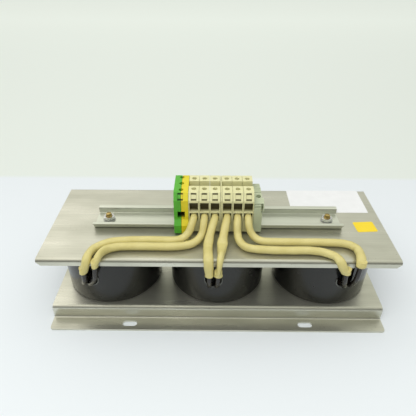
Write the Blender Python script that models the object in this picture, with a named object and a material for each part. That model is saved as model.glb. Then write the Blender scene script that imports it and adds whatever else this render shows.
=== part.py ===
# Three-coil line reactor: three potted ring chokes in moulded cups, clamped between a folded base
# plate and a folded top plate, with a rail of terminals on top and sleeved leads to it.
# Sizes are in millimetres. X runs along the row of cups, -Y is the front, Z is up from the floor.
import bpy
import bmesh
from math import cos, pi, radians, sin, tan
from mathutils import Vector

mm = 0.001
gap = 0.3                      # clearance kept between pieces that touch

# Sheet parts, which take their length and depth from the cups between them
sheet = 2.0
base_bend = 2.0                # inner radius of the base plate's bends
lip_bend = 1.2                 # and of the top plate's
plate_past_cup = 4.0           # both plates' ends, beyond the outer cups' rims
deck_past_cup = 8.5            # base plate's two step walls, beyond the cups' floors
deck_height = 17.0             # top of the deck above the floor
flange_width = 16.5            # each stepped-down flange, in front of its wall
flange_corner = 3.0
base_slot_length = 15.0
base_slot_width = 7.0
base_slot_spacing = 180.0
base_slot_from_edge = 8.0
top_past_cup = 10.5            # top plate's two lips, beyond the cups' rims
lip_height = 7.3               # lip, with the sheet's thickness
lip_corner = 4.0
column_height = 67.0           # from the deck to the underside of the top plate

# Cups
cup_spacing = 7.0              # between the rims of neighbours
cup_draft = 5.5                # rim's radius over the floor's
cup_wall = 2.5
cup_floor = 3.0
cup_tube_wall = 3.5
outlet_width = 17.0
outlet_bottom = 25.0           # above the deck
outlet_angles = {"left": -16.0, "middle": -5.0, "right": 14.5}      # from straight ahead
round_steps = 36
inner_steps = 28

# Chokes
core_inner_radius = 20.0
core_outer_radius = 37.0
core_height = 40.0
core_chamfer = 2.0
wire_diameter = 5.0
turns = 16
turn_step = 19.5               # degrees of ring that each turn takes
wire_bend = 3.0
resin_below_outlet = 2.0
resin_margin = 1.1             # from the winding to the trough's walls
resin_wall = 1.3               # thinnest resin between the trough and the cup
resin_floor = 2.3              # and under the trough

# Centre bolts
bolt_diameter = 6.0
bolt_play = 1.0                # holes' diameter over the bolt's
hex_across_flats = 10.0
bolt_head_height = 4.0
nut_height = 3.2
washer_diameter = 12.4
washer_thickness = 0.8
bolt_over_nut = 2.9
middle_bolt_over_nut = 1.0     # the middle one ends below the terminals' feet

# Mounting rail
rail_past_bolt = 13.0          # ends beyond the outer bolts
rail_width = 35.0
rail_height = 7.5
rail_channel = 27.0            # over the channel's two walls
rail_sheet = 1.0
rail_inner_radius = 0.6

# Terminals
terminal_width = 10.0
terminal_past_rail = 4.0       # faces in front of and behind the rail's edges
terminal_height = 45.4         # above the top plate
terminal_base = 1.8            # lowest point of the feet above the top plate
hook_depth = 1.6               # feet's hooks under the rail's edges
hook_height = 2.0
foot_chamfer = 1.0
plateau_depth = 32.0           # flat top, front to back
shoulder_drop = 7.8            # from the flat top down to the vertical face
groove_width = 9.4
groove_depth = 8.0
pocket_side = 0.8              # wall beside the entries and windows
entry_bottom = 15.2
entry_height = 10.0
entry_depth = 15.0
window_bottom = 26.1
window_height = 10.0
window_depth = 6.5
window_sill = 1.2              # rise of its sloping sill
screw_hole = 4.8
screw_diameter = 4.2
screw_length = 8.5
screw_slot = 0.8
marker_side = 2.3              # from a marker slot's end to the terminal's side
marker_slot_height = 1.6
marker_slot_depth = 1.4
marker_shares = (0.2, 0.8)      # places of the two slots down the sloping shoulder
cage_depth = 6.4
cage_wall = 1.1
bar_inset = 1.0                # bar's ends inside its cages' ends
bar_width = 4.8
bar_thickness = 2.4
tunnel_clearance = 0.3
tunnel_inset = 6.0             # tunnel's ends behind the terminal's two faces
row_left = -29.0               # left face of the first terminal
partition_thickness = 1.2
bracket_width = 9.7
bracket_height = 37.2
bracket_profile = ((0.0, 13.5), (2.0, 5.5), (6.5, 2.0))     # behind its face and below its top
bracket_top_reach = 6.0
bracket_recess_depth = 3.2
bracket_recess_drop = 4.5      # below the bracket's top
bracket_recess_height = 8.0
bracket_wall = 1.0
bracket_screw_offset = -9.0
bracket_screw_depth = 16.0

# Earth terminal
earth_width = 14.0
earth_ledge_reach = 3.5        # foot's ledge below the entries, beyond the body
earth_ledge_top = 17.0         # upper end of the ledge's slope above the top plate
earth_ledge_drop = 5.4
earth_entry_width = 7.2
earth_entry_bottom = 18.5
earth_entry_height = 7.6
earth_screw_offset = 12.0
earth_clamp_width = 8.0
earth_clamp_height = 3.0
earth_post_width = 4.6
earth_post_depth = 9.0
earth_post_height = 16.0

# Leads
sleeve_diameter = 7.8
sleeve_inside = 3.9            # start of a sleeve inside its terminal's face
sleeve_straight = 1.7          # and its straight stretch in front of it
sleeve_step = 7.5              # distance between the tube's rings
tail_step = 6.0                # the same for the coils' wire ends
square_end = 2.0               # last stretch of a sleeve or wire, upright so that their ends meet

# Sizes and levels that follow from these
cup_bottom_radius = core_outer_radius + gap + wire_diameter + resin_margin + resin_wall + gap + cup_wall
cup_top_radius = cup_bottom_radius + cup_draft
cup_pitch = 2 * cup_top_radius + cup_spacing
plate_length = 2 * (cup_pitch + cup_top_radius + plate_past_cup)
deck_depth = 2 * (cup_bottom_radius + deck_past_cup)
base_depth = deck_depth + 2 * flange_width
top_depth = 2 * (cup_top_radius + top_past_cup)
front_edge = -top_depth / 2
rail_length = 2 * (cup_pitch + rail_past_bolt)
deck_top = deck_height
top_under = deck_top + column_height
plate_top = top_under + sheet
cup_low = deck_top + gap
cup_high = top_under - gap
rail_seat = plate_top + gap
rail_top = rail_seat + rail_height
rail_floor = rail_seat + rail_sheet
foot_seat = rail_top + gap
cup_centres = {"left": -cup_pitch, "middle": 0.0, "right": cup_pitch}
bolt_radius = bolt_diameter / 2
bolt_hole_radius = bolt_radius + bolt_play / 2
wire_radius = wire_diameter / 2
trough_floor = cup_low + cup_floor + gap + resin_floor
core_low = trough_floor + gap + wire_diameter + gap
core_high = core_low + core_height
resin_top = deck_top + outlet_bottom - resin_below_outlet
pocket_width = terminal_width - 2 * pocket_side
marker_width = terminal_width - 2 * marker_side
half_depth = rail_width / 2 + terminal_past_rail
screw_offset = half_depth - entry_depth + gap + cage_depth / 2
half_plateau = plateau_depth / 2


# Plain materials, one for each finish
def material(name, colour, roughness, metallic=0.0):
    made = bpy.data.materials.new(name)
    made.use_nodes = True
    shader = made.node_tree.nodes["Principled BSDF"]
    shader.inputs["Base Color"].default_value = (*colour, 1.0)
    shader.inputs["Roughness"].default_value = roughness
    shader.inputs["Metallic"].default_value = metallic
    made.diffuse_color = (*colour, 1.0)
    return made


def make_materials():
    return {
        "galvanised": material("galvanised_steel", (0.62, 0.61, 0.52), 0.42, 0.7),
        "cup": material("black_plastic", (0.03, 0.03, 0.028), 0.18),
        "resin": material("potting_resin", (0.05, 0.045, 0.04), 0.35),
        "core": material("core_iron", (0.16, 0.17, 0.18), 0.55, 0.6),
        "copper": material("enamelled_copper", (0.36, 0.13, 0.05), 0.3, 0.8),
        "brass": material("yellow_zinc", (0.55, 0.42, 0.16), 0.35, 0.9),
        "zinc": material("bright_zinc", (0.66, 0.67, 0.66), 0.3, 0.9),
        "beige": material("beige_plastic", (0.76, 0.72, 0.43), 0.5),
        "green": material("green_plastic", (0.1, 0.52, 0.1), 0.45),
        "yellow": material("yellow_plastic", (0.9, 0.78, 0.08), 0.45),
        "grey": material("grey_plastic", (0.36, 0.4, 0.31), 0.55),
        "sleeve": material("cream_sleeve", (0.7, 0.6, 0.28), 0.6),
    }


# Mesh and Boolean helpers
def mesh_object(name, shape, finish=None):
    bmesh.ops.remove_doubles(shape, verts=shape.verts, dist=0.001)
    bmesh.ops.recalc_face_normals(shape, faces=shape.faces)
    bmesh.ops.scale(shape, vec=(mm, mm, mm), verts=shape.verts)
    mesh = bpy.data.meshes.new(name)
    shape.to_mesh(mesh)
    shape.free()
    obj = bpy.data.objects.new(name, mesh)
    bpy.context.collection.objects.link(obj)
    if finish:
        mesh.materials.append(finish)
    return obj


def place(axis, along, first, second):
    if axis == "X":
        return (along, first, second)
    if axis == "Y":
        return (first, along, second)
    return (first, second, along)


def prism(name, outline, axis, low, high, finish=None):
    shape = bmesh.new()
    face = shape.faces.new([shape.verts.new(place(axis, low, a, b)) for a, b in outline])
    moved = bmesh.ops.extrude_face_region(shape, geom=[face])
    rising = [v for v in moved["geom"] if isinstance(v, bmesh.types.BMVert)]
    bmesh.ops.translate(shape, verts=rising, vec=place(axis, high - low, 0.0, 0.0))
    return mesh_object(name, shape, finish)


def block(name, x, y, z, finish=None):
    outline = [(x[0], y[0]), (x[1], y[0]), (x[1], y[1]), (x[0], y[1])]
    return prism(name, outline, "Z", z[0], z[1], finish)


def circle(radius, steps, centre=(0.0, 0.0), start=0.0):
    angles = [start + 2 * pi * i / steps for i in range(steps)]
    return [(centre[0] + radius * cos(a), centre[1] + radius * sin(a)) for a in angles]


def slot_outline(length, width, centre, steps=5):
    radius = width / 2
    reach = length / 2 - radius
    points = []
    for side, start in ((1, -pi / 2), (-1, pi / 2)):
        for i in range(steps + 1):
            angle = start + pi * i / steps
            points.append((centre[0] + side * reach + radius * cos(angle), centre[1] + radius * sin(angle)))
    return points


def rod(name, radius, x, y, low, high, steps=16, finish=None):
    return prism(name, circle(radius, steps, (x, y)), "Z", low, high, finish)


def turned(name, profile, x, y, steps, finish=None):
    shape = bmesh.new()
    ring = [shape.verts.new((r, 0.0, z)) for r, z in profile]
    edges = [shape.edges.new((ring[i - 1], ring[i])) for i in range(len(ring))]
    bmesh.ops.spin(shape, geom=ring + edges, cent=(0, 0, 0), axis=(0, 0, 1),
                   angle=2 * pi, steps=steps, use_merge=True)
    bmesh.ops.translate(shape, verts=shape.verts, vec=(x, y, 0.0))
    return mesh_object(name, shape, finish)


def combine(obj, tools, operation="DIFFERENCE"):
    for tool in tools:
        tool.hide_render = True
        tool.display_type = "WIRE"
        step = obj.modifiers.new(tool.name, "BOOLEAN")
        step.operation = operation
        step.object = tool
    depsgraph = bpy.context.evaluated_depsgraph_get()
    result = bpy.data.meshes.new_from_object(obj.evaluated_get(depsgraph))
    obj.modifiers.clear()
    obj.data = result
    for tool in tools:
        bpy.data.objects.remove(tool)
    return obj


def rounded(obj, angle=35.0):
    obj.data.shade_smooth()
    obj.data.set_sharp_from_angle(angle=radians(angle))
    return obj


def copy_of(obj, name, x_shift):
    twin = bpy.data.objects.new(name, obj.data)
    twin.location = (x_shift * mm, 0.0, 0.0)
    bpy.context.collection.objects.link(twin)
    return twin


# Outline of a folded sheet whose middle line runs through the given corners
def folded_sheet(corners, thickness, inner_radius, steps=3):
    reach = inner_radius + thickness / 2
    line = [(Vector(corners[0]), (Vector(corners[1]) - Vector(corners[0])).normalized())]
    for before, corner, after in zip(corners, corners[1:], corners[2:]):
        here = Vector(corner)
        come = (here - Vector(before)).normalized()
        leave = (Vector(after) - here).normalized()
        turn = come.angle_signed(leave)
        start = here - come * reach * tan(abs(turn) / 2)
        side = Vector((come.y, -come.x)) * (1 if turn > 0 else -1)
        centre = start + side * reach
        for i in range(steps + 1):
            swing = -turn * i / steps
            arm = Vector((-side.x * cos(swing) + side.y * sin(swing),
                          -side.x * sin(swing) - side.y * cos(swing)))
            heading = Vector((come.x * cos(swing) - come.y * sin(swing),
                              come.x * sin(swing) + come.y * cos(swing)))
            line.append((centre + arm * reach, heading))
    last = Vector(corners[-1])
    line.append((last, (last - Vector(corners[-2])).normalized()))
    left = [p + Vector((-h.y, h.x)) * thickness / 2 for p, h in line]
    right = [p - Vector((-h.y, h.x)) * thickness / 2 for p, h in line]
    return [tuple(p) for p in left + right[::-1]]


def mirrored(half):
    return half + [(-a, b) for a, b in reversed(half) if abs(a) > 1e-6]


# Base plate: deck, two step walls and two slotted flanges, folded from one sheet
def base_plate(finish):
    wall = deck_depth / 2 - sheet / 2
    edge = base_depth / 2
    low = sheet / 2
    high = deck_top - sheet / 2
    corners = [(-edge, low), (-wall, low), (-wall, high), (wall, high), (wall, low), (edge, low)]
    half = plate_length / 2
    plate = prism("base_plate", folded_sheet(corners, sheet, base_bend), "X", -half, half, finish)
    plan = []
    for corner_x, corner_y, start in ((1, -1, -90), (1, 1, 0), (-1, 1, 90), (-1, -1, 180)):
        middle = (corner_x * (half - flange_corner), corner_y * (edge - flange_corner))
        for i in range(5):
            angle = radians(start + 22.5 * i)
            plan.append((middle[0] + flange_corner * cos(angle), middle[1] + flange_corner * sin(angle)))
    combine(plate, [prism("plan", plan, "Z", -1.0, deck_top + 1.0)], "INTERSECT")
    cutters = [rod("bolt_hole", bolt_hole_radius, x, 0.0, deck_top - sheet - 1.0, deck_top + 1.0)
               for x in cup_centres.values()]
    for x in (-base_slot_spacing / 2, base_slot_spacing / 2):
        for y in (-edge + base_slot_from_edge, edge - base_slot_from_edge):
            outline = slot_outline(base_slot_length, base_slot_width, (x, y))
            cutters.append(prism("slot", outline, "Z", -1.0, sheet + 1.0))
    return rounded(combine(plate, cutters))


# Top plate: a flat sheet with a lip turned down along the front and the back
def top_plate(finish):
    edge = top_depth / 2 - sheet / 2
    low = plate_top - lip_height
    high = plate_top - sheet / 2
    half = plate_length / 2
    corners = [(-edge, low), (-edge, high), (edge, high), (edge, low)]
    plate = prism("top_plate", folded_sheet(corners, sheet, lip_bend), "X", -half, half, finish)
    face = [(-half, plate_top + 1.0), (-half, low + lip_corner), (-half + lip_corner, low),
            (half - lip_corner, low), (half, low + lip_corner), (half, plate_top + 1.0)]
    combine(plate, [prism("lip_ends", face, "Y", -top_depth, top_depth)], "INTERSECT")
    holes = [rod("bolt_hole", bolt_hole_radius, x, 0.0, top_under - 1.0, plate_top + 1.0)
             for x in cup_centres.values()]
    return rounded(combine(plate, holes))


# Point at a distance from a cup's axis, at an angle from the middle of its outlet
def round_cup(side, radius, angle, sideways=0.0):
    heading = radians(-90.0 + outlet_angles[side] + angle)
    x = cup_centres[side] + radius * cos(heading) - sideways * sin(heading)
    y = radius * sin(heading) + sideways * cos(heading)
    return x, y


def cup_radius(z):
    return cup_bottom_radius + (cup_top_radius - cup_bottom_radius) * (z - cup_low) / (cup_high - cup_low)


# Cup: drafted outer wall, floor and a centre tube that keeps the bolt out of the resin
def cup(side, finish):
    tube_inner = bolt_hole_radius
    tube_outer = tube_inner + cup_tube_wall
    floor_top = cup_low + cup_floor
    profile = [
        (tube_inner, cup_low), (cup_bottom_radius - 1.0, cup_low), (cup_bottom_radius, cup_low + 1.0),
        (cup_top_radius, cup_high), (cup_top_radius - cup_wall, cup_high),
        (cup_radius(floor_top) - cup_wall, floor_top), (tube_outer, floor_top),
        (tube_outer, cup_high), (tube_inner, cup_high),
    ]
    shell = turned(f"cup_{side}", profile, 0.0, 0.0, round_steps, finish)
    radius = outlet_width / 2
    bend = deck_top + outlet_bottom + radius
    outline = [(radius, cup_high + 1.0), (-radius, cup_high + 1.0)]
    outline += [(-radius * cos(pi * i / 10), bend - radius * sin(pi * i / 10)) for i in range(11)]
    cutter = prism("outlet", outline, "Y", -cup_top_radius - 4.0, -core_outer_radius)
    cutter.rotation_euler = (0.0, 0.0, radians(outlet_angles[side]))
    combine(shell, [cutter])
    shell.location = (cup_centres[side] * mm, 0.0, 0.0)
    return rounded(shell)


# Resin bed with a ring-shaped trough that the wound core stands in
def potting(side, finish):
    low = cup_low + cup_floor + gap
    high = resin_top
    trough_low = trough_floor
    inner = core_inner_radius - gap - wire_diameter - resin_margin
    outer = core_outer_radius + gap + wire_diameter + resin_margin
    rim = cup_wall + gap
    profile = [
        (bolt_hole_radius + cup_tube_wall + gap, low), (cup_radius(low) - rim, low), (cup_radius(high) - rim, high),
        (outer, high), (outer, trough_low + core_chamfer), (outer - core_chamfer, trough_low),
        (inner + core_chamfer, trough_low), (inner, trough_low + core_chamfer), (inner, high),
        (bolt_hole_radius + cup_tube_wall + gap, high),
    ]
    return rounded(turned(f"potting_{side}", profile, cup_centres[side], 0.0, inner_steps, finish))


def core(side, finish):
    c = core_chamfer
    profile = [
        (core_inner_radius, core_low + c), (core_inner_radius + c, core_low),
        (core_outer_radius - c, core_low), (core_outer_radius, core_low + c),
        (core_outer_radius, core_high - c), (core_outer_radius - c, core_high),
        (core_inner_radius + c, core_high), (core_inner_radius, core_high - c),
    ]
    return rounded(turned(f"core_{side}", profile, cup_centres[side], 0.0, inner_steps, finish))


# Tube along points, as a curve object
def tube(name, points, diameter, resolution, finish):
    curve = bpy.data.curves.new(name, "CURVE")
    curve.dimensions = "3D"
    curve.bevel_depth = diameter / 2 * mm
    curve.bevel_resolution = resolution
    curve.use_fill_caps = True
    spline = curve.splines.new("POLY")
    spline.points.add(len(points) - 1)
    for knot, point in zip(spline.points, points):
        knot.co = (point[0] * mm, point[1] * mm, point[2] * mm, 1.0)
    curve.materials.append(finish)
    obj = bpy.data.objects.new(name, curve)
    bpy.context.collection.objects.link(obj)
    return obj


# Smooth curve through route points, read at even steps
def smooth(route, step):
    points = [Vector(p) for p in route]
    points = [points[0] * 2 - points[1]] + points + [points[-1] * 2 - points[-2]]
    dense = []
    for a, b, c, d in zip(points, points[1:], points[2:], points[3:]):
        for i in range(24):
            t = i / 24
            dense.append(0.5 * ((2 * b) + (c - a) * t + (2 * a - 5 * b + 4 * c - d) * t * t
                                + (3 * b - a - 3 * c + d) * t * t * t))
    dense.append(points[-2])
    lengths = [(q - p).length for p, q in zip(dense, dense[1:])]
    count = max(2, round(sum(lengths) / step))
    even = [dense[0]]
    walked = 0.0
    for p, q, length in zip(dense, dense[1:], lengths):
        while walked + length >= sum(lengths) * len(even) / count and len(even) < count:
            share = (sum(lengths) * len(even) / count - walked) / length
            even.append(p.lerp(q, share))
        walked += length
    even.append(dense[-1])
    return even


# Lead routes by hand, from the terminal to over the front lip: x, distance behind the top plate's
# front edge and height above that plate. A route starts where its sleeve has left the terminal, and
# its last point is the sleeve's lower end, where the coil's wire comes out of it.
on_plate = gap + sleeve_diameter / 2
lead_routes = {
    "1": [(-25.8, 35.1, 16.4), (-28.6, 31.3, 9.8), (-34.5, 27.5, on_plate + 1.0),
          (-44.0, 25.1, on_plate), (-66.0, 25.5, on_plate), (-86.0, 24.7, on_plate),
          (-101.5, 22.5, on_plate), (-111.0, 17.5, on_plate), (-117.2, 11.9, on_plate + 0.1),
          (-119.8, 3.5, on_plate + 0.4), (-120.7, -2.5, 3.2), (-122.2, -4.7, -1.6),
          (-124.2, -4.6, -8.0), (-125.1, -4.5, -11.0)],
    "2": [(-14.4, 34.9, 16.2), (-16.0, 29.9, 9.0), (-20.4, 23.9, on_plate + 0.9),
          (-28.6, 18.3, on_plate), (-43.5, 15.5, on_plate), (-67.2, 15.5, on_plate),
          (-88.4, 15.2, on_plate), (-99.2, 13.4, on_plate), (-106.0, 9.3, on_plate + 0.1),
          (-109.6, 3.1, on_plate + 0.4), (-111.2, -2.5, 3.4), (-112.7, -4.3, 0.6),
          (-113.4, -4.5, -3.0)],
    "3": [(-5.4, 34.0, 16.6), (-8.0, 26.0, 10.6), (-9.6, 18.9, 5.8), (-10.1, 13.1, on_plate),
          (-9.6, 3.1, on_plate + 0.4), (-9.4, -2.7, 3.2), (-9.1, -4.7, -2.5), (-8.8, -4.6, -9.0),
          (-8.5, -4.5, -14.0)],
    "4": [(6.9, 34.0, 16.6), (5.0, 26.0, 10.6), (3.8, 18.9, 5.8), (3.2, 12.9, on_plate),
          (2.2, 3.1, on_plate + 0.4), (1.4, -2.7, 3.2), (0.8, -4.7, -2.5), (0.2, -4.6, -9.0),
          (-0.1, -4.5, -13.8)],
    "5": [(18.2, 34.7, 16.0), (18.6, 29.5, 8.8), (21.0, 22.3, on_plate + 0.8), (28.2, 14.5, on_plate),
          (47.3, 11.5, on_plate), (66.0, 11.0, on_plate), (84.0, 11.1, on_plate), (95.4, 9.5, on_plate),
          (103.4, 5.7, on_plate + 0.1), (108.0, 1.7, on_plate + 0.4), (110.8, -2.7, 3.2),
          (113.6, -4.7, -2.0), (116.6, -4.7, -7.0), (118.0, -4.5, -9.6)],
    "6": [(29.3, 35.5, 16.6), (31.2, 31.9, 10.2), (36.4, 27.7, on_plate + 1.1), (45.4, 24.3, on_plate),
          (69.0, 23.7, on_plate), (98.0, 23.6, on_plate), (116.6, 22.7, on_plate),
          (126.0, 19.9, on_plate), (130.6, 14.1, on_plate), (131.2, 7.1, on_plate + 0.1),
          (130.6, 1.7, on_plate + 0.3), (130.0, -2.7, 3.2), (129.9, -4.5, -1.0)],
}
cup_leads = {"left": ("1", "2"), "middle": ("3", "4"), "right": ("5", "6")}


def lead_point(point):
    x, behind, height = point
    return x, front_edge + behind, plate_top + height


def terminal_x(number):
    past_partition = partition_thickness + gap if number > 3 else 0.0
    return row_left + terminal_width / 2 + (number - 1) * (terminal_width + gap) + past_partition


def lead(number, finish):
    start = terminal_x(int(number))
    level = plate_top + entry_bottom + entry_height / 2
    route = [(start, -half_depth + sleeve_inside, level), (start, -half_depth - sleeve_straight, level)]
    route += [lead_point(p) for p in lead_routes[number]]
    x, y, end = route[-1]
    points = smooth(route[:-1] + [(x, y, end + square_end)], sleeve_step) + [(x, y, end)]
    return tube(f"lead_{number}", points, sleeve_diameter, 2, finish)


# Winding: one wire wrapped round the ring core, with both ends led out of the cup's outlet
def winding(side, finish):
    outer = core_outer_radius + gap + wire_radius
    inner = core_inner_radius - gap - wire_radius
    low = core_low - gap - wire_radius
    high = core_high + gap + wire_radius
    outlet_z = deck_top + outlet_bottom + wire_diameter + gap
    spread = wire_radius + 1.0
    first = (360.0 - turns * turn_step) / 2

    def at(radius, angle, z, sideways=0.0):
        return (*round_cup(side, radius, angle, sideways), z)

    def tail(number, hand):
        x, y, end = lead_point(lead_routes[number][-1])
        end -= gap
        out_x, out_y, out_z = at(cup_top_radius + 4.0, 0.0, outlet_z + 1.4, hand * spread)
        middle = (x * 0.7 + out_x * 0.3, y * 0.75 + out_y * 0.25, end - 0.55 * (end - out_z))
        route = [(x, y, end - square_end), middle, (out_x, out_y, out_z),
                 at(cup_radius(outlet_z) - cup_wall / 2, 0.0, outlet_z, hand * spread),
                 at(core_outer_radius + 6.6, hand * 8.0, outlet_z - 0.8)]
        return [(x, y, end)] + smooth(route, tail_step)

    left_end, right_end = cup_leads[side]
    path = tail(right_end, 1)
    path += [at(outer + 0.8, first - 5.5, outlet_z - 4.2), at(outer, first, outlet_z - 9.0)]
    for i in range(turns):
        angle = first + i * turn_step
        if i:
            path.append(at(outer, angle, high - wire_bend))
        path += [
            at(outer, angle, low + wire_bend), at(outer - wire_bend, angle + 0.1 * turn_step, low),
            at(inner + wire_bend, angle + 0.4 * turn_step, low),
            at(inner, angle + 0.5 * turn_step, low + wire_bend),
            at(inner, angle + 0.5 * turn_step, high - wire_bend),
            at(inner + wire_bend, angle + 0.6 * turn_step, high),
            at(outer - wire_bend, angle + 0.9 * turn_step, high),
        ]
    path += [at(outer, -first, high - wire_bend), at(outer, -first, outlet_z + 5.0),
             at(outer + 0.8, -first + 5.5, outlet_z + 1.6)]
    path += tail(left_end, -1)[::-1]
    return tube(f"winding_{side}", path, wire_diameter, 1, finish)


# Fasteners
def bolt(side, tip, finish):
    x = cup_centres[side]
    top = deck_top - sheet - gap
    outline = circle(hex_across_flats / 2 / cos(pi / 6), 6, (x, 0.0))
    made = prism(f"centre_bolt_{side}", outline, "Z", top - bolt_head_height, top, finish)
    combine(made, [rod("shank", bolt_radius, x, 0.0, top - 1.0, tip)], "UNION")
    return rounded(made)


def nut(side, low, finish):
    x = cup_centres[side]
    high = low + nut_height
    outline = circle(hex_across_flats / 2 / cos(pi / 6), 6, (x, 0.0))
    made = prism(f"nut_{side}", outline, "Z", low, high, finish)
    return rounded(combine(made, [rod("thread", bolt_radius + gap, x, 0.0, low - 1.0, high + 1.0)]))


def washer(side, low, finish):
    inner = bolt_radius + gap
    outer = washer_diameter / 2
    high = low + washer_thickness
    profile = [(inner, low), (outer, low), (outer, high), (inner, high)]
    return rounded(turned(f"washer_{side}", profile, cup_centres[side], 0.0, 20, finish))


def fasteners(brass, zinc):
    seat = rail_floor + gap
    for side in ("left", "right"):
        nut_low = seat + washer_thickness + gap
        washer(side, seat, zinc)
        nut(side, nut_low, zinc)
        bolt(side, nut_low + nut_height + bolt_over_nut, brass)
    nut("middle", seat, zinc)
    bolt("middle", seat + nut_height + middle_bolt_over_nut, brass)


# Top-hat mounting rail
def rail(finish):
    edge = rail_width / 2
    wall = rail_channel / 2 - rail_sheet / 2
    low = rail_seat + rail_sheet / 2
    high = rail_top - rail_sheet / 2
    corners = [(-edge, high), (-wall, high), (-wall, low), (wall, low), (wall, high), (edge, high)]
    half = rail_length / 2
    made = prism("din_rail", folded_sheet(corners, rail_sheet, rail_inner_radius), "X", -half, half, finish)
    holes = [rod("bolt_hole", bolt_hole_radius, x, 0.0, rail_seat - 1.0, rail_floor + 1.0)
             for x in cup_centres.values()]
    return rounded(combine(made, holes))


# Half outline of a foot that straddles the rail and hooks under its edge, from the middle outwards
def foot(reach):
    edge = rail_width / 2 + gap
    under = rail_top - rail_sheet - gap
    low = plate_top + terminal_base
    return [(0.0, foot_seat), (edge, foot_seat), (edge, under), (edge - hook_depth, under),
            (edge - hook_depth, under - hook_height), (edge + 0.4, low), (reach - foot_chamfer, low),
            (reach, low + foot_chamfer)]


def shoulder(height):
    top = plate_top + height
    return [(half_depth, top - shoulder_drop), (half_depth - 0.7, top - shoulder_drop + 1.3),
            (half_plateau + 0.6, top - 0.6), (half_plateau, top)]


# Two shallow slots on a sloping shoulder, which hold a marker tag
def marker_slots(x, side):
    top = plate_top + terminal_height
    run = half_depth - half_plateau
    tilt = Vector((run, -shoulder_drop)).normalized()
    inward = Vector((tilt.y, -tilt.x))
    cutters = []
    for share in marker_shares:
        middle = Vector((half_plateau, top)) + Vector((run, -shoulder_drop)) * share
        along = tilt * marker_slot_height / 2
        low = inward * marker_slot_depth
        corners = [middle - along - inward, middle + along - inward, middle + along + low, middle - along + low]
        outline = [(side * c.x, c.y) for c in corners]
        cutters.append(prism("marker_slot", outline, "X", x - marker_width / 2, x + marker_width / 2))
    return cutters


def terminal_housing(name, x, finish):
    top = plate_top + terminal_height
    groove = [(groove_width / 2, top), (groove_width / 2, top - groove_depth)]
    outline = mirrored(foot(half_depth) + shoulder(terminal_height) + groove)
    half_width = terminal_width / 2
    housing = prism(name, outline, "X", x - half_width, x + half_width, finish)
    half_pocket = pocket_width / 2
    entry_low = plate_top + entry_bottom
    entry_high = entry_low + entry_height
    window_low = plate_top + window_bottom
    cutters = []
    for side in (-1, 1):
        face = side * (half_depth + 1.0)
        back = side * (half_depth - entry_depth)
        cutters.append(block("entry", (x - half_pocket, x + half_pocket), sorted((face, back)),
                             (entry_low, entry_high)))
        edge = side * half_depth
        recess = side * (half_depth - window_depth)
        window = [(side * (half_depth + 1.0), window_low), (edge, window_low), (recess, window_low + window_sill),
                  (recess, window_low + window_height), (side * (half_depth + 1.0), window_low + window_height)]
        cutters.append(prism("window", window, "X", x - half_pocket, x + half_pocket))
        cutters.append(rod("screw_hole", screw_hole / 2, x, side * screw_offset, entry_high - 1.0, top + 1.0, 12))
        cutters += marker_slots(x, side)
    half_tunnel = bar_width / 2 + tunnel_clearance
    tunnel_low = entry_low + cage_wall + gap - tunnel_clearance
    cutters.append(block("tunnel", (x - half_tunnel, x + half_tunnel), (-half_depth + tunnel_inset, half_depth - tunnel_inset),
                         (tunnel_low, tunnel_low + bar_thickness + 2 * tunnel_clearance)))
    return combine(housing, cutters)


# Current bar with a wire cage at each end
def current_bar(name, x, finish):
    half_cage = pocket_width / 2 - gap
    low = plate_top + entry_bottom + gap
    high = low + entry_height - 2 * gap
    bar_low = low + cage_wall
    end = half_depth - entry_depth + gap + cage_depth - bar_inset
    made = block(name, (x - bar_width / 2, x + bar_width / 2), (-end, end), (bar_low, bar_low + bar_thickness), finish)
    tools = []
    for side in (-1, 1):
        inner = side * (half_depth - entry_depth + gap)
        outer = inner + side * cage_depth
        cage = block("cage", (x - half_cage, x + half_cage), sorted((inner, outer)), (low, high))
        hole = block("wire_hole", (x - half_cage + cage_wall, x + half_cage - cage_wall),
                     sorted((inner - side, outer + side)), (bar_low + bar_thickness, high - cage_wall))
        tools.append(combine(cage, [hole]))
    return combine(made, tools, "UNION")


def clamp_screw(name, x, y, low, finish):
    screw = rod(name, screw_diameter / 2, x, y, low, low + screw_length, 12, finish)
    groove = block("slot", (x - screw_diameter, x + screw_diameter), (y - screw_slot / 2, y + screw_slot / 2),
                   (low + screw_length - 1.0, low + screw_length + 1.0))
    return rounded(combine(screw, [groove]))


# The row: three terminals, the partition, three terminals and the end bracket
def terminal_row(paint):
    x = terminal_x(1)
    housing = terminal_housing("terminal_1", x, paint["beige"])
    bar = current_bar("current_bar_1", x, paint["zinc"])
    screw_low = plate_top + entry_bottom + entry_height
    screws = [clamp_screw(f"clamp_screw_{place_name}_1", x, side * screw_offset, screw_low, paint["zinc"])
              for place_name, side in (("front", -1), ("back", 1))]
    for number in range(2, 7):
        shift = terminal_x(number) - x
        copy_of(housing, f"terminal_{number}", shift)
        copy_of(bar, f"current_bar_{number}", shift)
        for screw, place_name in zip(screws, ("front", "back")):
            copy_of(screw, f"clamp_screw_{place_name}_{number}", shift)
    left = terminal_x(3) + terminal_width / 2 + gap
    edge = rail_width / 2 + gap
    low = plate_top + terminal_base + foot_chamfer
    plain = [(0.0, foot_seat), (edge, foot_seat), (edge, low), (half_depth, low)]
    outline = mirrored(plain + shoulder(terminal_height))
    prism("partition_plate", outline, "X", left, left + partition_thickness, paint["beige"])
    end_bracket(terminal_x(6) + terminal_width / 2 + gap, paint["grey"], paint["zinc"])


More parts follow.
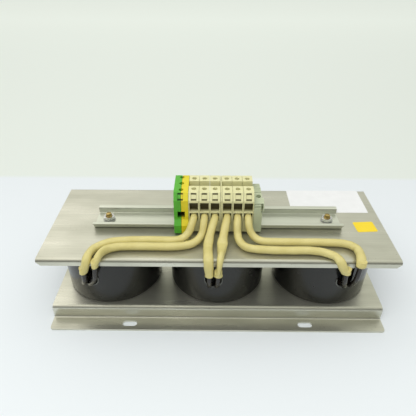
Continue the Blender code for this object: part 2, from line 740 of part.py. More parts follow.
def end_bracket(left, finish, metal):
    top = plate_top + bracket_height
    half = foot(half_depth) + [(half_depth - behind, top - drop) for behind, drop in bracket_profile]
    half += [(bracket_top_reach, top), (0.0, top)]
    made = prism("end_bracket", mirrored(half), "X", left, left + bracket_width, finish)
    middle = left + bracket_width / 2
    seat = top - bracket_screw_depth
    hole = rod("screw_hole", screw_hole / 2, middle, bracket_screw_offset, seat, top + 1.0, 12)
    recess_top = top - bracket_recess_drop
    recess = block("recess", (left + bracket_wall, left + bracket_width - bracket_wall),
                   (-half_depth - 1.0, -half_depth + bracket_recess_depth),
                   (recess_top - bracket_recess_height, recess_top))
    combine(made, [hole, recess])
    clamp_screw("bracket_screw", middle, bracket_screw_offset, seat + gap, metal)


# Earth terminal: a green and a yellow shell over a metal clamp that grips the rail
def earth_terminal(paint):
    right = row_left - gap
    middle = right - earth_width / 2
    ledge = plate_top + earth_ledge_top
    reach = half_depth + earth_ledge_reach
    outline = mirrored(foot(reach) + [(reach, ledge - earth_ledge_drop), (half_depth, ledge)]
                       + shoulder(terminal_height) + [(0.0, plate_top + terminal_height)])
    clamp_half = earth_clamp_width / 2 + gap
    post_half = earth_post_width / 2 + gap
    entry_low = plate_top + earth_entry_bottom
    clamp_high = foot_seat + earth_clamp_height
    halves = (("earth_shell_green", right - earth_width, middle - gap / 2, "green"),
              ("earth_shell_yellow", middle + gap / 2, right, "yellow"))
    for name, low_x, high_x, colour in halves:
        shell = prism(name, outline, "X", low_x, high_x, paint[colour])
        cutters = [
            block("clamp_room", (middle - clamp_half, middle + clamp_half),
                  (-rail_width / 2 - gap, rail_width / 2 + gap), (foot_seat - 1.0, clamp_high + gap)),
            block("post_room", (middle - post_half, middle + post_half),
                  (-earth_post_depth / 2 - gap, earth_post_depth / 2 + gap),
                  (clamp_high, clamp_high + earth_post_height + gap)),
            block("entries", (middle - earth_entry_width / 2, middle + earth_entry_width / 2),
                  (-reach, reach), (entry_low, entry_low + earth_entry_height)),
        ]
        for y in (-earth_screw_offset, 0.0, earth_screw_offset):
            cutters.append(rod("screw_hole", screw_hole / 2, middle, y, entry_low + earth_entry_height - 1.0,
                               plate_top + terminal_height + 1.0, 12))
        for side in (-1, 1):
            cutters += marker_slots(middle - 0.6, side)
        combine(shell, cutters)
    clamp_reach = rail_width / 2
    clamp = block("earth_clamp", (middle - earth_clamp_width / 2, middle + earth_clamp_width / 2),
                  (-clamp_reach, clamp_reach), (foot_seat, clamp_high), paint["zinc"])
    post = block("post", (middle - earth_post_width / 2, middle + earth_post_width / 2),
                 (-earth_post_depth / 2, earth_post_depth / 2), (clamp_high - 1.0, clamp_high + earth_post_height))
    combine(clamp, [post], "UNION")


def main():
    for old in list(bpy.data.objects):
        bpy.data.objects.remove(old)
    paint = make_materials()
    base_plate(paint["galvanised"])
    top_plate(paint["galvanised"])
    for side in cup_centres:
        cup(side, paint["cup"])
        potting(side, paint["resin"])
        core(side, paint["core"])
        winding(side, paint["copper"])
    fasteners(paint["brass"], paint["zinc"])
    rail(paint["galvanised"])
    earth_terminal(paint)
    terminal_row(paint)
    for number in lead_routes:
        lead(number, paint["sleeve"])


main()
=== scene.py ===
# Looks of the three-coil line reactor: plates, cups, rail terminals and sleeved leads, around its CAD frame
from math import atan2, cos, exp, pi, radians, sin
import bmesh
import bpy
from mathutils import Matrix, Vector, noise


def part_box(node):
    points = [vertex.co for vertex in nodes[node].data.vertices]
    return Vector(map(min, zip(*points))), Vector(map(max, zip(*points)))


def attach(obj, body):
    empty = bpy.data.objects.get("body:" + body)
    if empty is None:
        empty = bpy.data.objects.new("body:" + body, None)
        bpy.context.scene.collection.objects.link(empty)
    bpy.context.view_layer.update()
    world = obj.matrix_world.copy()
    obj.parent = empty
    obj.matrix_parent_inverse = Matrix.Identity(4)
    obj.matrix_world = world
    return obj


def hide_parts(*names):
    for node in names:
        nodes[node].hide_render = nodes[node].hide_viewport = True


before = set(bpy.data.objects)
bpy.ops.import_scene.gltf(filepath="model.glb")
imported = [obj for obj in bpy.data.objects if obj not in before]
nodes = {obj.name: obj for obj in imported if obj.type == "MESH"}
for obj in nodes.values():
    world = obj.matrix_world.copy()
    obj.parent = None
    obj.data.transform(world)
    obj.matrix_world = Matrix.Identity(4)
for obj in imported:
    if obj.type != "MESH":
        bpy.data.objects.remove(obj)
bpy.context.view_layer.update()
mm = 0.001
sides = ("left", "middle", "right")
print("frame: ", len(nodes), "nodes")

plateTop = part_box("top_plate")[1].z
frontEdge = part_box("top_plate")[0].y
clearance = 0.3 * mm             # between the frame's pieces
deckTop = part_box("cup_left")[0].z - clearance

photoCamera = {
    "pixels": 416,
    "focal": 425.2,          # in pixels of the photo
    "place": (-0.0083, -0.3617, 0.3445),
    "lookDown": 33.81,
    "turn": 0.32,
    "roll": 0.23,
}


# Camera and stage
def makeCamera():
    data = bpy.data.cameras.new("photoCamera")
    data.sensor_width = 36.0
    data.lens = photoCamera["focal"] / photoCamera["pixels"] * data.sensor_width
    data.clip_start = 0.01
    camera = bpy.data.objects.new("photoCamera", data)
    bpy.context.scene.collection.objects.link(camera)
    aim = Matrix.Rotation(radians(photoCamera["turn"]), 3, "Z")
    aim = aim @ Matrix.Rotation(radians(90 - photoCamera["lookDown"]), 3, "X")
    aim = aim @ Matrix.Rotation(radians(photoCamera["roll"]), 3, "Z")
    camera.rotation_euler = aim.to_euler()
    camera.location = photoCamera["place"]
    bpy.context.scene.camera = camera


look = {
    "floor": (0.80, 0.845, 0.85),
    "far": (0.775, 0.825, 0.75),       # the paper behind the table, a little greener
    "farFrom": 0.236,
    "farTo": 0.246,
    "near": (0.16, 0.16, 0.14),        # floor nearer than the picture reaches, painted dark as shade so that less light bounces and mirrors from the camera's side
    "nearFrom": -0.20,
    "nearTo": -0.34,
    "sky": (0.86, 0.87, 0.78),         # what metal mirrors above and behind
    "left": (1.50, 1.46, 1.36),        # and on the left, where a window is
    "leftFromTo": (-0.08, -0.42),
    "front": (0.14, 0.135, 0.10),      # and towards the camera's side
    "frontFromTo": (-0.70, 0.40),
    "farGlow": 0.30,                   # added to the paper far behind
    "farEnd": 1.6,
    "skySeen": 1.0,
    "seenLow": 0.25,                   # share of that near the horizon
    "skyLight": 0.66,
    "skyLow": 0.3,                     # share of that light that comes from the horizon
    "lightFromTo": (0.0, 0.55),        # height over which that light grows
    "seenFromTo": (0.15, 0.62),
    "lamps": {"topLamp": ((-0.1, -0.3, 1.6), (2.4, 2.0), 10.0),          # place, size and power
              "frontLamp": ((-0.3, -0.95, 1.45), (1.5, 1.0), 11.0)},
    "lampAim": (0, 0, 0.05),
}


# A socket takes a value, or a link from another socket
def feed(tree, plug, value):
    if isinstance(value, bpy.types.NodeSocket):
        tree.links.new(value, plug)
    elif plug.type == "RGBA":
        plug.default_value = (*value, 1)
    else:
        plug.default_value = value


def addNode(tree, kind, plugs, **settings):
    node = tree.nodes.new("ShaderNode" + kind)
    for key, value in settings.items():
        setattr(node, key, value)
    for key, value in plugs.items():
        feed(tree, node.inputs[key], value)
    return node.outputs


def addMath(tree, kind, *values):
    return addNode(tree, "Math", dict(enumerate(values)), operation=kind)[0]


def addRange(tree, value, start, end, low=0.0, high=1.0):
    plugs = {"Value": value, "From Min": start, "From Max": end, "To Min": low, "To Max": high}
    return addNode(tree, "MapRange", plugs)[0]


def addMix(tree, mask, first, second):
    return addNode(tree, "Mix", {0: mask, 6: first, 7: second}, data_type="RGBA")[2]


def startPaint(name, roughness, metallic=0.0, coat=0.0, coatRoughness=0.08):
    paint = bpy.data.materials.new(name)
    paint.use_nodes = True
    tree = paint.node_tree
    shader = tree.nodes["Principled BSDF"].inputs
    shader["Roughness"].default_value = roughness
    shader["Metallic"].default_value = metallic
    shader["Coat Weight"].default_value = coat
    shader["Coat Roughness"].default_value = coatRoughness
    return paint, tree, shader, addNode(tree, "TexCoord", {})["Object"]


def splitPlace(tree, kind):
    return addNode(tree, "SeparateXYZ", {0: addNode(tree, "TexCoord", {})[kind]})


def makeStage():
    deselectAll()
    bpy.ops.mesh.primitive_plane_add(size=12.0, location=(0, 0, -0.2 * mm))
    floor = bpy.context.object
    floor.name = "floor"
    paint, tree, shader, place = startPaint("paleFloor", 0.75)
    shader["Specular IOR Level"].default_value = 0.2
    depth = splitPlace(tree, "Object")["Y"]
    far = addRange(tree, depth, look["farFrom"], look["farTo"])
    # towards the camera the floor turns to the dark near colour: painted shade
    near = addRange(tree, depth, look["nearFrom"], look["nearTo"])
    table = addMix(tree, far, look["floor"], look["far"])
    feed(tree, shader["Base Color"], addMix(tree, near, table, look["near"]))
    feed(tree, shader["Emission Color"], look["far"])
    glow = addRange(tree, depth, look["farTo"], look["farEnd"], 0.0, look["farGlow"])
    feed(tree, shader["Emission Strength"], glow)
    floor.data.materials.append(paint)


def makeLamp(name, place, size, power):
    data = bpy.data.lights.new(name, "AREA")
    data.shape = "RECTANGLE"
    data.size, data.size_y = size
    data.energy = power
    lamp = bpy.data.objects.new(name, data)
    lamp.location = place
    lamp.visible_glossy = False
    aim = Vector(look["lampAim"]) - Vector(place)
    lamp.rotation_euler = aim.to_track_quat("-Z", "Y").to_euler()
    bpy.context.scene.collection.objects.link(lamp)


def makeLight():
    bpy.context.scene.view_settings.view_transform = "Standard"
    world = bpy.data.worlds.new("studio")
    bpy.context.scene.world = world
    world.use_nodes = True
    tree = world.node_tree
    sky = tree.nodes["Background"].inputs
    side, depth, height = splitPlace(tree, "Generated")
    path = addNode(tree, "LightPath", {})
    seen = addMath(tree, "MAXIMUM", path["Is Camera Ray"], path["Is Glossy Ray"])
    seen = addMath(tree, "MAXIMUM", seen, path["Is Transmission Ray"])
    window = addMix(tree, addRange(tree, side, *look["leftFromTo"]), look["sky"], look["left"])
    ahead = addMath(tree, "MULTIPLY_ADD", height, 0.6, depth)
    mirrored = addMix(tree, addRange(tree, ahead, *look["frontFromTo"]), look["front"], window)
    feed(tree, sky["Color"], addMix(tree, seen, (1.0, 1.0, 1.0), mirrored))
    light = addRange(tree, height, *look["lightFromTo"], look["skyLight"] * look["skyLow"], look["skyLight"])
    power = addMath(tree, "MULTIPLY", light, addMath(tree, "SUBTRACT", 1.0, seen))
    seenPower = addRange(tree, height, *look["seenFromTo"], look["skySeen"] * look["seenLow"], look["skySeen"])
    feed(tree, sky["Strength"], addMath(tree, "MULTIPLY_ADD", seen, seenPower, power))
    for name, values in look["lamps"].items():
        makeLamp(name, *values)


# Modelling helpers, all on one selected piece
def deselectAll():
    if bpy.context.mode != "OBJECT":
        bpy.ops.object.mode_set(mode="OBJECT")
    bpy.ops.object.select_all(action="DESELECT")


def pickUp(piece):
    deselectAll()
    piece.select_set(True)
    bpy.context.view_layer.objects.active = piece


def editMode(piece, kind="VERT"):
    pickUp(piece)
    bpy.ops.object.mode_set(mode="EDIT")
    bpy.ops.mesh.select_mode(type=kind)


def selectWhere(piece, kind, test):
    shape = bmesh.from_edit_mesh(piece.data)
    for item in [*shape.faces, *shape.edges, *shape.verts]:
        item.select_set(False)
    for item in {"VERT": shape.verts, "EDGE": shape.edges}[kind]:
        if test(item):
            item.select_set(True)
    bmesh.update_edit_mesh(piece.data)


def middleOf(item):
    return sum((v.co for v in item.verts), Vector()) / len(item.verts)


def heights(node):
    low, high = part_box(node)
    return low.z, high.z


# Turn about an upright axis, in degrees
def turnMesh(piece, place, angle):
    away = Vector((*place, 0))
    turn = Matrix.Rotation(radians(angle), 4, "Z")
    piece.data.transform(Matrix.Translation(away) @ turn @ Matrix.Translation(-away))


def applyPlace():
    bpy.ops.object.transform_apply(location=True, rotation=True, scale=True)


def addBlock(name, low, high):
    deselectAll()
    low, high = Vector(low), Vector(high)
    bpy.ops.mesh.primitive_cube_add(size=1, location=(low + high) / 2)
    block = bpy.context.object
    block.name = name
    block.scale = high - low
    applyPlace()
    return block


def addRod(name, radius, place, low, high, steps=32):
    deselectAll()
    bpy.ops.mesh.primitive_cylinder_add(vertices=steps, radius=radius, depth=high - low,
                                        location=(place[0], place[1], (low + high) / 2))
    rod = bpy.context.object
    rod.name = name
    applyPlace()
    return rod


# A chain of points drawn by extruding one vertex
def drawChain(name, points):
    deselectAll()
    bpy.ops.mesh.primitive_plane_add(size=mm, location=(0, 0, 0))
    piece = bpy.context.object
    piece.name = name
    editMode(piece)
    bpy.ops.mesh.select_all(action="SELECT")
    bpy.ops.mesh.merge(type="CENTER")
    bpy.ops.transform.translate(value=points[0])
    for here, there in zip(points, points[1:]):
        bpy.ops.mesh.extrude_region_move(TRANSFORM_OT_translate={"value": Vector(there) - Vector(here)})
    return piece


def tidyMesh(piece):
    editMode(piece)
    bpy.ops.mesh.select_all(action="SELECT")
    bpy.ops.mesh.remove_doubles(threshold=0.00001)
    bpy.ops.mesh.normals_make_consistent(inside=False)
    deselectAll()
    return piece


# A closed outline, filled and pushed out
def drawPrism(name, outline, shift):
    piece = drawChain(name, outline)
    bpy.ops.mesh.select_all(action="SELECT")
    bpy.ops.mesh.edge_face_add()
    bpy.ops.mesh.extrude_region_move(TRANSFORM_OT_translate={"value": shift})
    return tidyMesh(piece)


def drawBar(name, outline, low, high):
    return drawPrism(name, [(low, y, z) for y, z in outline], (high - low, 0, 0))


# A closed profile of radius and height, spun round an upright axis
def spinProfile(name, profile, centre, steps=96):
    piece = drawChain(name, [(centre[0] + r, centre[1], z) for r, z in profile + profile[:1]])
    bpy.ops.mesh.select_all(action="SELECT")
    bpy.ops.mesh.spin(steps=steps, angle=2 * pi, center=(centre[0], centre[1], 0), axis=(0, 0, 1))
    return tidyMesh(piece)


def modify(piece, kind, **settings):
    pickUp(piece)
    bpy.ops.object.modifier_add(type=kind)
    step = piece.modifiers[-1]
    for key, value in settings.items():
        setattr(step, key, value)
    bpy.ops.object.modifier_apply(modifier=step.name)
    return piece


def cutAway(piece, *cutters, operation="DIFFERENCE"):
    for cutter in cutters:
        modify(piece, "BOOLEAN", object=cutter, operation=operation, solver="EXACT")
        bpy.data.objects.remove(cutter)
    return piece


def soften(piece, width, segments=2, angle=35.0):
    modify(piece, "BEVEL", width=width, segments=segments, limit_method="ANGLE",
           angle_limit=radians(angle), use_clamp_overlap=True, miter_outer="MITER_ARC")
    pickUp(piece)
    bpy.ops.object.shade_smooth_by_angle(angle=radians(angle))
    # flat faces stay flat to their edges
    return modify(piece, "WEIGHTED_NORMAL", keep_sharp=True, weight=100)


def copyPiece(piece, name, shift):
    pickUp(piece)
    bpy.ops.object.duplicate()
    twin = bpy.context.object
    twin.name = name
    twin.location = (shift, 0, 0)
    applyPlace()
    return twin


# A mesh copy of a CAD node with its loose triangles merged, for pieces whose form is already right
def copyNode(node, name):
    twin = bpy.data.objects.new(name, nodes[node].data.copy())
    bpy.context.scene.collection.objects.link(twin)
    twin.data.materials.clear()
    editMode(twin)
    bpy.ops.mesh.select_all(action="SELECT")
    bpy.ops.mesh.remove_doubles(threshold=0.000005)
    bpy.ops.mesh.dissolve_limited(angle_limit=radians(1))
    deselectAll()
    return twin


def settle(piece, paint, *replaced):
    piece.data.materials.clear()
    piece.data.materials.append(paint)
    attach(piece, "root")
    if replaced:
        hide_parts(*replaced)
    return piece


makeCamera()
makeStage()
makeLight()
print("camera, stage and lamps")


# Shared effects, as node groups
def newGroup(name, inputs, output):
    group = bpy.data.node_groups.new(name, "ShaderNodeTree")
    for label, value in inputs.items():
        kind = "NodeSocketFloat" if isinstance(value, float) else "NodeSocketVector"
        group.interface.new_socket(name=label, in_out="INPUT", socket_type=kind).default_value = value
    group.interface.new_socket(name=output, in_out="OUTPUT", socket_type="NodeSocketFloat")
    return group, group.nodes.new("NodeGroupInput").outputs, group.nodes.new("NodeGroupOutput").inputs[0]


# Noise stretched along an axis: grain of rolled sheet, streaks and drawn marks
def makeGrainGroup():
    inputs = {"Vector": (0, 0, 0), "Stretch": (1, 1, 1), "Scale": 100.0, "Detail": 3.0}
    group, given, made = newGroup("stretchedGrain", inputs, "Value")
    place = addNode(group, "VectorMath", {0: given["Vector"], 1: given["Stretch"]}, operation="MULTIPLY")[0]
    cloud = addNode(group, "TexNoise", {"Vector": place, "Scale": given["Scale"], "Detail": given["Detail"]})
    feed(group, made, addRange(group, cloud["Fac"], 0.3, 0.7))
    return group


# Small dark or pale specks: dirt, pits and moulding marks
def makeSpeckGroup():
    inputs = {"Vector": (0, 0, 0), "Scale": 400.0, "Size": 0.16, "Amount": 0.5}
    group, given, made = newGroup("specks", inputs, "Mask")
    cells = addNode(group, "TexVoronoi", {"Vector": given["Vector"], "Scale": given["Scale"]})
    patch = addNode(group, "TexNoise", {"Vector": given["Vector"], "Scale": 25.0})
    near = addRange(group, cells["Distance"], 0.0, given["Size"], 1.0, 0.0)
    few = addMath(group, "MULTIPLY", near, addRange(group, patch["Fac"], 0.5, 0.62))
    feed(group, made, addMath(group, "MULTIPLY", few, given["Amount"]))
    return group


grain = makeGrainGroup()
specks = makeSpeckGroup()


def addGroup(tree, group, vector, **values):
    return addNode(tree, "Group", {"Vector": vector, **values}, node_tree=group)[0]


def coverSkin(tree, shader, colour, roughness, height, strength, distance):
    feed(tree, shader["Base Color"], colour)
    feed(tree, shader["Roughness"], roughness)
    bump = addNode(tree, "Bump", {"Height": height, "Strength": strength, "Distance": distance * mm})[0]
    feed(tree, shader["Normal"], bump)


# Zinc-plated sheet: straw-grey satin with rolling grain along its length, cloudy patches and small dirt
def paintSheet(name, bright, dull, dirt, rough, metallic):
    paint, tree, shader, place = startPaint(name, 0.35, metallic)
    fine = addGroup(tree, grain, place, Stretch=(1.0, 60.0, 60.0), Scale=22.0, Detail=5.0)
    clouds = addGroup(tree, grain, place, Stretch=(0.6, 1.4, 1.4), Scale=26.0, Detail=3.0)
    spots = addGroup(tree, specks, place, Scale=330.0, Size=0.2, Amount=0.55)
    streaks = addRange(tree, fine, 0.0, 1.0, 0.0, 0.35)
    colour = addMix(tree, streaks, addMix(tree, clouds, bright, dull), tuple(0.82 * c for c in dull))
    satin = addMath(tree, "MULTIPLY_ADD", fine, 0.10, addRange(tree, clouds, 0.0, 1.0, *rough))
    coverSkin(tree, shader, addMix(tree, spots, colour, dirt), satin, fine, 0.25, 0.06)
    return paint


# Moulded plastic: one colour with faint flow clouds, a few specks and a fine skin
def paintPlastic(name, colour, shade, roughness, skin=0.1, coat=0.0, speck=(0.25, 0.22, 0.15), amount=0.25):
    paint, tree, shader, place = startPaint(name, roughness, coat=coat)
    clouds = addGroup(tree, grain, place, Scale=90.0, Detail=4.0)
    spots = addGroup(tree, specks, place, Scale=700.0, Size=0.15, Amount=amount)
    speckled = addMix(tree, spots, addMix(tree, clouds, colour, shade), speck)
    satin = addRange(tree, clouds, 0.0, 1.0, roughness - 0.05, roughness + 0.08)
    fine = addGroup(tree, grain, place, Scale=2600.0, Detail=2.0)
    coverSkin(tree, shader, speckled, satin, fine, skin, 0.05)
    return paint


# Terminal housing: the same plastic, with painted shade that grows darker the deeper a face lies in the
# openings of front and shoulder; deep is the colour of that painted shade
def paintHousing(name, colour, shade, deep):
    paint, tree, shader, place = startPaint(name, 0.40)
    clouds = addGroup(tree, grain, place, Scale=90.0, Detail=4.0)
    _, depth, height = addNode(tree, "SeparateXYZ", {0: place})
    out = addMath(tree, "ABSOLUTE", depth)
    half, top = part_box("terminal_1")[1].y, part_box("terminal_1")[1].z
    flat, foot = terminal["plateau"], top - terminal["drop"]
    inFront = addMath(tree, "LESS_THAN", height, foot - 0.2 * mm)
    pocket = addMath(tree, "MULTIPLY", inFront, addRange(tree, out, half - 0.5 * mm, half - 5.0 * mm))
    slope = Vector((top - foot, half - flat)).normalized()
    over = addMath(tree, "MULTIPLY_ADD", out, slope.x, addMath(tree, "MULTIPLY", height, slope.y))
    skin = half * slope.x + foot * slope.y
    beyond = addMath(tree, "GREATER_THAN", out, flat - 1.4 * mm)
    level = addMath(tree, "COMPARE", height, (top + foot) / 2, (top - foot) / 2 - 0.1 * mm)
    sunk = addRange(tree, over, skin - 0.15 * mm, skin - 1.0 * mm, 0.0, 0.85)
    slot = addMath(tree, "MULTIPLY", addMath(tree, "MULTIPLY", beyond, level), sunk)
    onTop = addMath(tree, "LESS_THAN", out, flat - 1.4 * mm)
    well = addMath(tree, "MULTIPLY", onTop, addRange(tree, height, top - 0.3 * mm, top - 12 * mm, 0.0, 0.6))
    # painted shade: pockets, marker slots and screw wells mixed towards the dark colour deep
    dark = addMath(tree, "MAXIMUM", addMath(tree, "MAXIMUM", pocket, slot), well)
    shaded = addMix(tree, dark, addMix(tree, clouds, colour, shade), deep)
    fine = addGroup(tree, grain, place, Scale=2600.0, Detail=2.0)
    coverSkin(tree, shader, shaded, addRange(tree, clouds, 0.0, 1.0, 0.35, 0.48), fine, 0.08, 0.05)
    return paint


# Plated steel and brass-coloured fasteners
def paintPlated(name, colour, shade, roughness, metallic=0.95):
    paint, tree, shader, place = startPaint(name, roughness, metallic)
    clouds = addGroup(tree, grain, place, Scale=260.0, Detail=4.0)
    satin = addRange(tree, clouds, 0.0, 1.0, roughness - 0.06, roughness + 0.12)
    fine = addGroup(tree, grain, place, Scale=1800.0, Detail=2.0)
    coverSkin(tree, shader, addMix(tree, clouds, colour, shade), satin, fine, 0.12, 0.04)
    return paint


# Woven glass sleeving with a varnish: crossing threads from the sleeve's own map, warm shade in the folds
def paintSleeve():
    paint, tree, shader, place = startPaint("wovenSleeve", 0.42, coat=0.25, coatRoughness=0.25)
    along = addNode(tree, "UVMap", {}, uv_map="sleeveMap")[0]
    waves = []
    for turn in (45.0, -45.0):
        turned = addNode(tree, "Mapping", {"Vector": along, "Rotation": (0, 0, radians(turn))})[0]
        wave = addNode(tree, "TexWave", {"Vector": turned, "Scale": 5.0, "Distortion": 0.6, "Detail": 1.0})
        waves.append(wave["Fac"])
    weave = addMath(tree, "MAXIMUM", *waves)
    clouds = addGroup(tree, grain, place, Scale=70.0, Detail=4.0)
    colour = addMix(tree, clouds, (0.72, 0.645, 0.265), (0.64, 0.56, 0.20))
    threads = addMix(tree, addRange(tree, weave, 0.0, 1.0, 0.45, 0.0), colour, (0.50, 0.42, 0.13))
    coverSkin(tree, shader, threads, 0.42, weave, 0.25, 0.12)
    return paint


# Sizes of a rail terminal's housing, which its paint reads as well
terminal = {"plateau": 16.0 * mm, "drop": 7.8 * mm, "groove": (4.7 * mm, 8.0 * mm), "pocket": 4.2 * mm,
            "entry": (15.2 * mm, 24.6 * mm), "entryDepth": 15.0 * mm, "window": (26.1 * mm, 36.1 * mm),
            "windowDepth": 6.5 * mm, "screwY": 10.0 * mm, "screwHole": 2.4 * mm, "marker": 2.7 * mm,
            "markerSlots": (0.2, 0.8), "slotHeight": 1.7 * mm, "slotDepth": 1.4 * mm, "edge": 0.22 * mm,
            "footLow": 1.8 * mm, "hook": 1.6 * mm}


paints = {
    "sheet": paintSheet("zincSheet", (0.74, 0.735, 0.63), (0.60, 0.60, 0.50), (0.20, 0.18, 0.12),
                        (0.22, 0.36), 0.84),
    "rail": paintSheet("railSteel", (0.80, 0.82, 0.71), (0.73, 0.76, 0.65), (0.36, 0.36, 0.27),
                       (0.27, 0.35), 0.86),
    "cup": paintPlastic("blackMoulding", (0.010, 0.010, 0.008), (0.013, 0.013, 0.011), 0.20, 0.02, 0.0,
                        (0.05, 0.045, 0.035), 0.2),
    "resin": paintPlastic("castResin", (0.03, 0.027, 0.022), (0.05, 0.043, 0.034), 0.3, 0.1, 0.2),
    # outlet bead: a grey lighter than the black cup, a painted highlight along the outlet's rim
    "bead": paintPlastic("rimHighlightBead", (0.13, 0.135, 0.12), (0.08, 0.085, 0.075), 0.22, 0.02, 0.5),
    "core": paintPlated("ironCore", (0.10, 0.12, 0.14), (0.16, 0.17, 0.18), 0.5, 0.4),
    "copper": paintPlated("copperWire", (0.014, 0.010, 0.007), (0.010, 0.007, 0.005), 0.22, 0.0),
    "brass": paintPlated("yellowZinc", (0.66, 0.50, 0.18), (0.45, 0.32, 0.11), 0.28),
    # clamp and bracket screws: zinc darkened to a painted shade of the wells they sit in
    "screw": paintPlated("wellShadedZinc", (0.15, 0.13, 0.085), (0.09, 0.08, 0.05), 0.4, 0.8),
    "zinc": paintPlated("brightZinc", (0.74, 0.75, 0.74), (0.56, 0.57, 0.56), 0.22),
    # the last colour of each housing paint is its painted shade in the openings
    "beige": paintHousing("beigePlastic", (0.76, 0.74, 0.41), (0.71, 0.69, 0.36), (0.10, 0.085, 0.03)),
    "green": paintHousing("greenPlastic", (0.10, 0.45, 0.035), (0.085, 0.39, 0.03), (0.01, 0.05, 0.008)),
    "yellow": paintHousing("yellowPlastic", (0.76, 0.65, 0.022), (0.71, 0.59, 0.019), (0.10, 0.08, 0.01)),
    "grey": paintPlastic("greyPlastic", (0.50, 0.56, 0.37), (0.45, 0.50, 0.33), 0.5, 0.1),
    "sleeve": paintSleeve(),
    "paper": paintPlastic("labelPaper", (0.84, 0.85, 0.83), (0.80, 0.81, 0.79), 0.45, 0.03, amount=0.1),
    "patch": paintPlastic("patchVinyl", (0.90, 0.68, 0.02), (0.86, 0.64, 0.02), 0.4, 0.03, amount=0.1),
}
print("finishes: ", len(paints))


def metres(values):
    return tuple(v * mm for v in values)


# Folded sheet: its middle line is drawn, pushed along X and its bends rounded; finishSheet adds its wall
def foldSheet(name, corners, half, bend, wall):
    piece = drawChain(name, [(-half, y, z) for y, z in corners])
    bpy.ops.mesh.select_all(action="SELECT")
    bpy.ops.mesh.extrude_region_move(TRANSFORM_OT_translate={"value": (2 * half, 0, 0)})
    bends = [Vector((0, y, z)) for y, z in corners[1:-1]]
    bpy.ops.mesh.select_mode(type="EDGE")
    selectWhere(piece, "EDGE", lambda e: any((middleOf(e) - b).length < 0.1 * mm for b in bends))
    bpy.ops.mesh.bevel(offset=bend + wall / 2, segments=10, affect="EDGES")
    return piece


def roundTips(piece, test, offset, segments):
    bpy.ops.mesh.select_mode(type="VERT")
    selectWhere(piece, "VERT", test)
    bpy.ops.mesh.bevel(offset=offset, segments=segments, affect="VERTICES")
    deselectAll()


def addSlot(name, length, width, place, low, high):
    slot = addRod(name, width / 2, place, low, high, 40)
    editMode(slot)
    for side in (-1, 1):
        selectWhere(slot, "VERT", lambda v: (v.co.x - place[0]) * side > 0.01 * mm)
        bpy.ops.transform.translate(value=(side * (length - width) / 2, 0, 0))
    deselectAll()
    return slot


# Wall, bolt holes, other openings and edges of a folded sheet
def finishSheet(piece, size, level, paint, node, cutters=()):
    wall = size["wall"]
    modify(piece, "SOLIDIFY", thickness=wall, offset=0.0, use_even_offset=True)
    holes = [addRod("hole", boltHole, boltPlaces[side], level - wall, level + wall) for side in sides]
    cutAway(piece, *holes, *cutters)
    settle(soften(piece, size["edge"]), paints[paint], node)


boltPlaces = {side: tuple(sum(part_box(f"centre_bolt_{side}"), Vector())[:2]) for side in sides}
boltPlaces = {side: (x / 2, y / 2) for side, (x, y) in boltPlaces.items()}
boltHole = 3.5 * mm

basePlate = {"wall": 2.0 * mm, "bend": 2.0 * mm, "deckHalf": 56.0 * mm, "corner": 3.0 * mm,
             "slot": (15.0 * mm, 7.0 * mm), "slotX": 90.0 * mm, "slotY": 64.5 * mm, "edge": 0.25 * mm}


def makeBasePlate():
    size = basePlate
    low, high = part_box("base_plate")
    half, edge, wall = high.x, high.y, size["wall"]
    stand = size["deckHalf"] - wall / 2
    bottom, deck = low.z + wall / 2, high.z - wall / 2
    corners = [(-edge, bottom), (-stand, bottom), (-stand, deck), (stand, deck), (stand, bottom),
               (edge, bottom)]
    piece = foldSheet("basePlateDressed", corners, half, size["bend"], wall)
    roundTips(piece, lambda v: abs(abs(v.co.y) - edge) < 0.1 * mm, size["corner"], 6)
    slots = [addSlot("slot", *size["slot"], (x, y), low.z - wall, low.z + 2 * wall)
             for x in (-size["slotX"], size["slotX"]) for y in (-size["slotY"], size["slotY"])]
    finishSheet(piece, size, deck, "sheet", "base_plate", slots)


topPlate = {"wall": 2.0 * mm, "bend": 1.4 * mm, "tip": 4.0 * mm, "edge": 0.25 * mm}


def makeTopPlate():
    size = topPlate
    low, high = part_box("top_plate")
    wall = size["wall"]
    edge, top = high.y - wall / 2, high.z - wall / 2
    corners = [(-edge, low.z), (-edge, top), (edge, top), (edge, low.z)]
    piece = foldSheet("topPlateDressed", corners, high.x, size["bend"], wall)
    roundTips(piece, lambda v: abs(v.co.z - low.z) < 0.1 * mm, size["tip"], 1)
    finishSheet(piece, size, top, "sheet", "top_plate")


railShape = {"wall": 1.0 * mm, "bend": 0.7 * mm, "channel": 13.5 * mm, "edge": 0.12 * mm}


def makeRail():
    size = railShape
    low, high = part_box("din_rail")
    wall, edge = size["wall"], high.y
    stand = size["channel"] - wall / 2
    bottom, top = low.z + wall / 2, high.z - wall / 2
    corners = [(-edge, top), (-stand, top), (-stand, bottom), (stand, bottom), (stand, top), (edge, top)]
    piece = foldSheet("mountingRail", corners, high.x, size["bend"], wall)
    finishSheet(piece, size, bottom, "rail", "din_rail")


# Cups
cupShape = {"lowRadius": 50.5 * mm, "highRadius": 53.0 * mm, "wall": 2.5 * mm, "floor": 3.0 * mm,
            "tube": 3.5 * mm, "outletHalf": 8.5 * mm, "bead": 0.65 * mm, "outletLow": 25.0 * mm,
            "outletDeep": 17.0 * mm, "footRound": 2.0 * mm, "brimChamfer": 1.0 * mm, "edge": 0.7 * mm,
            "turn": {"left": -16.0, "middle": -5.0, "right": 14.5}}


def cupRadiusAt(z):
    low, high = heights("cup_middle")
    return cupShape["lowRadius"] + (cupShape["highRadius"] - cupShape["lowRadius"]) * (z - low) / (high - low)
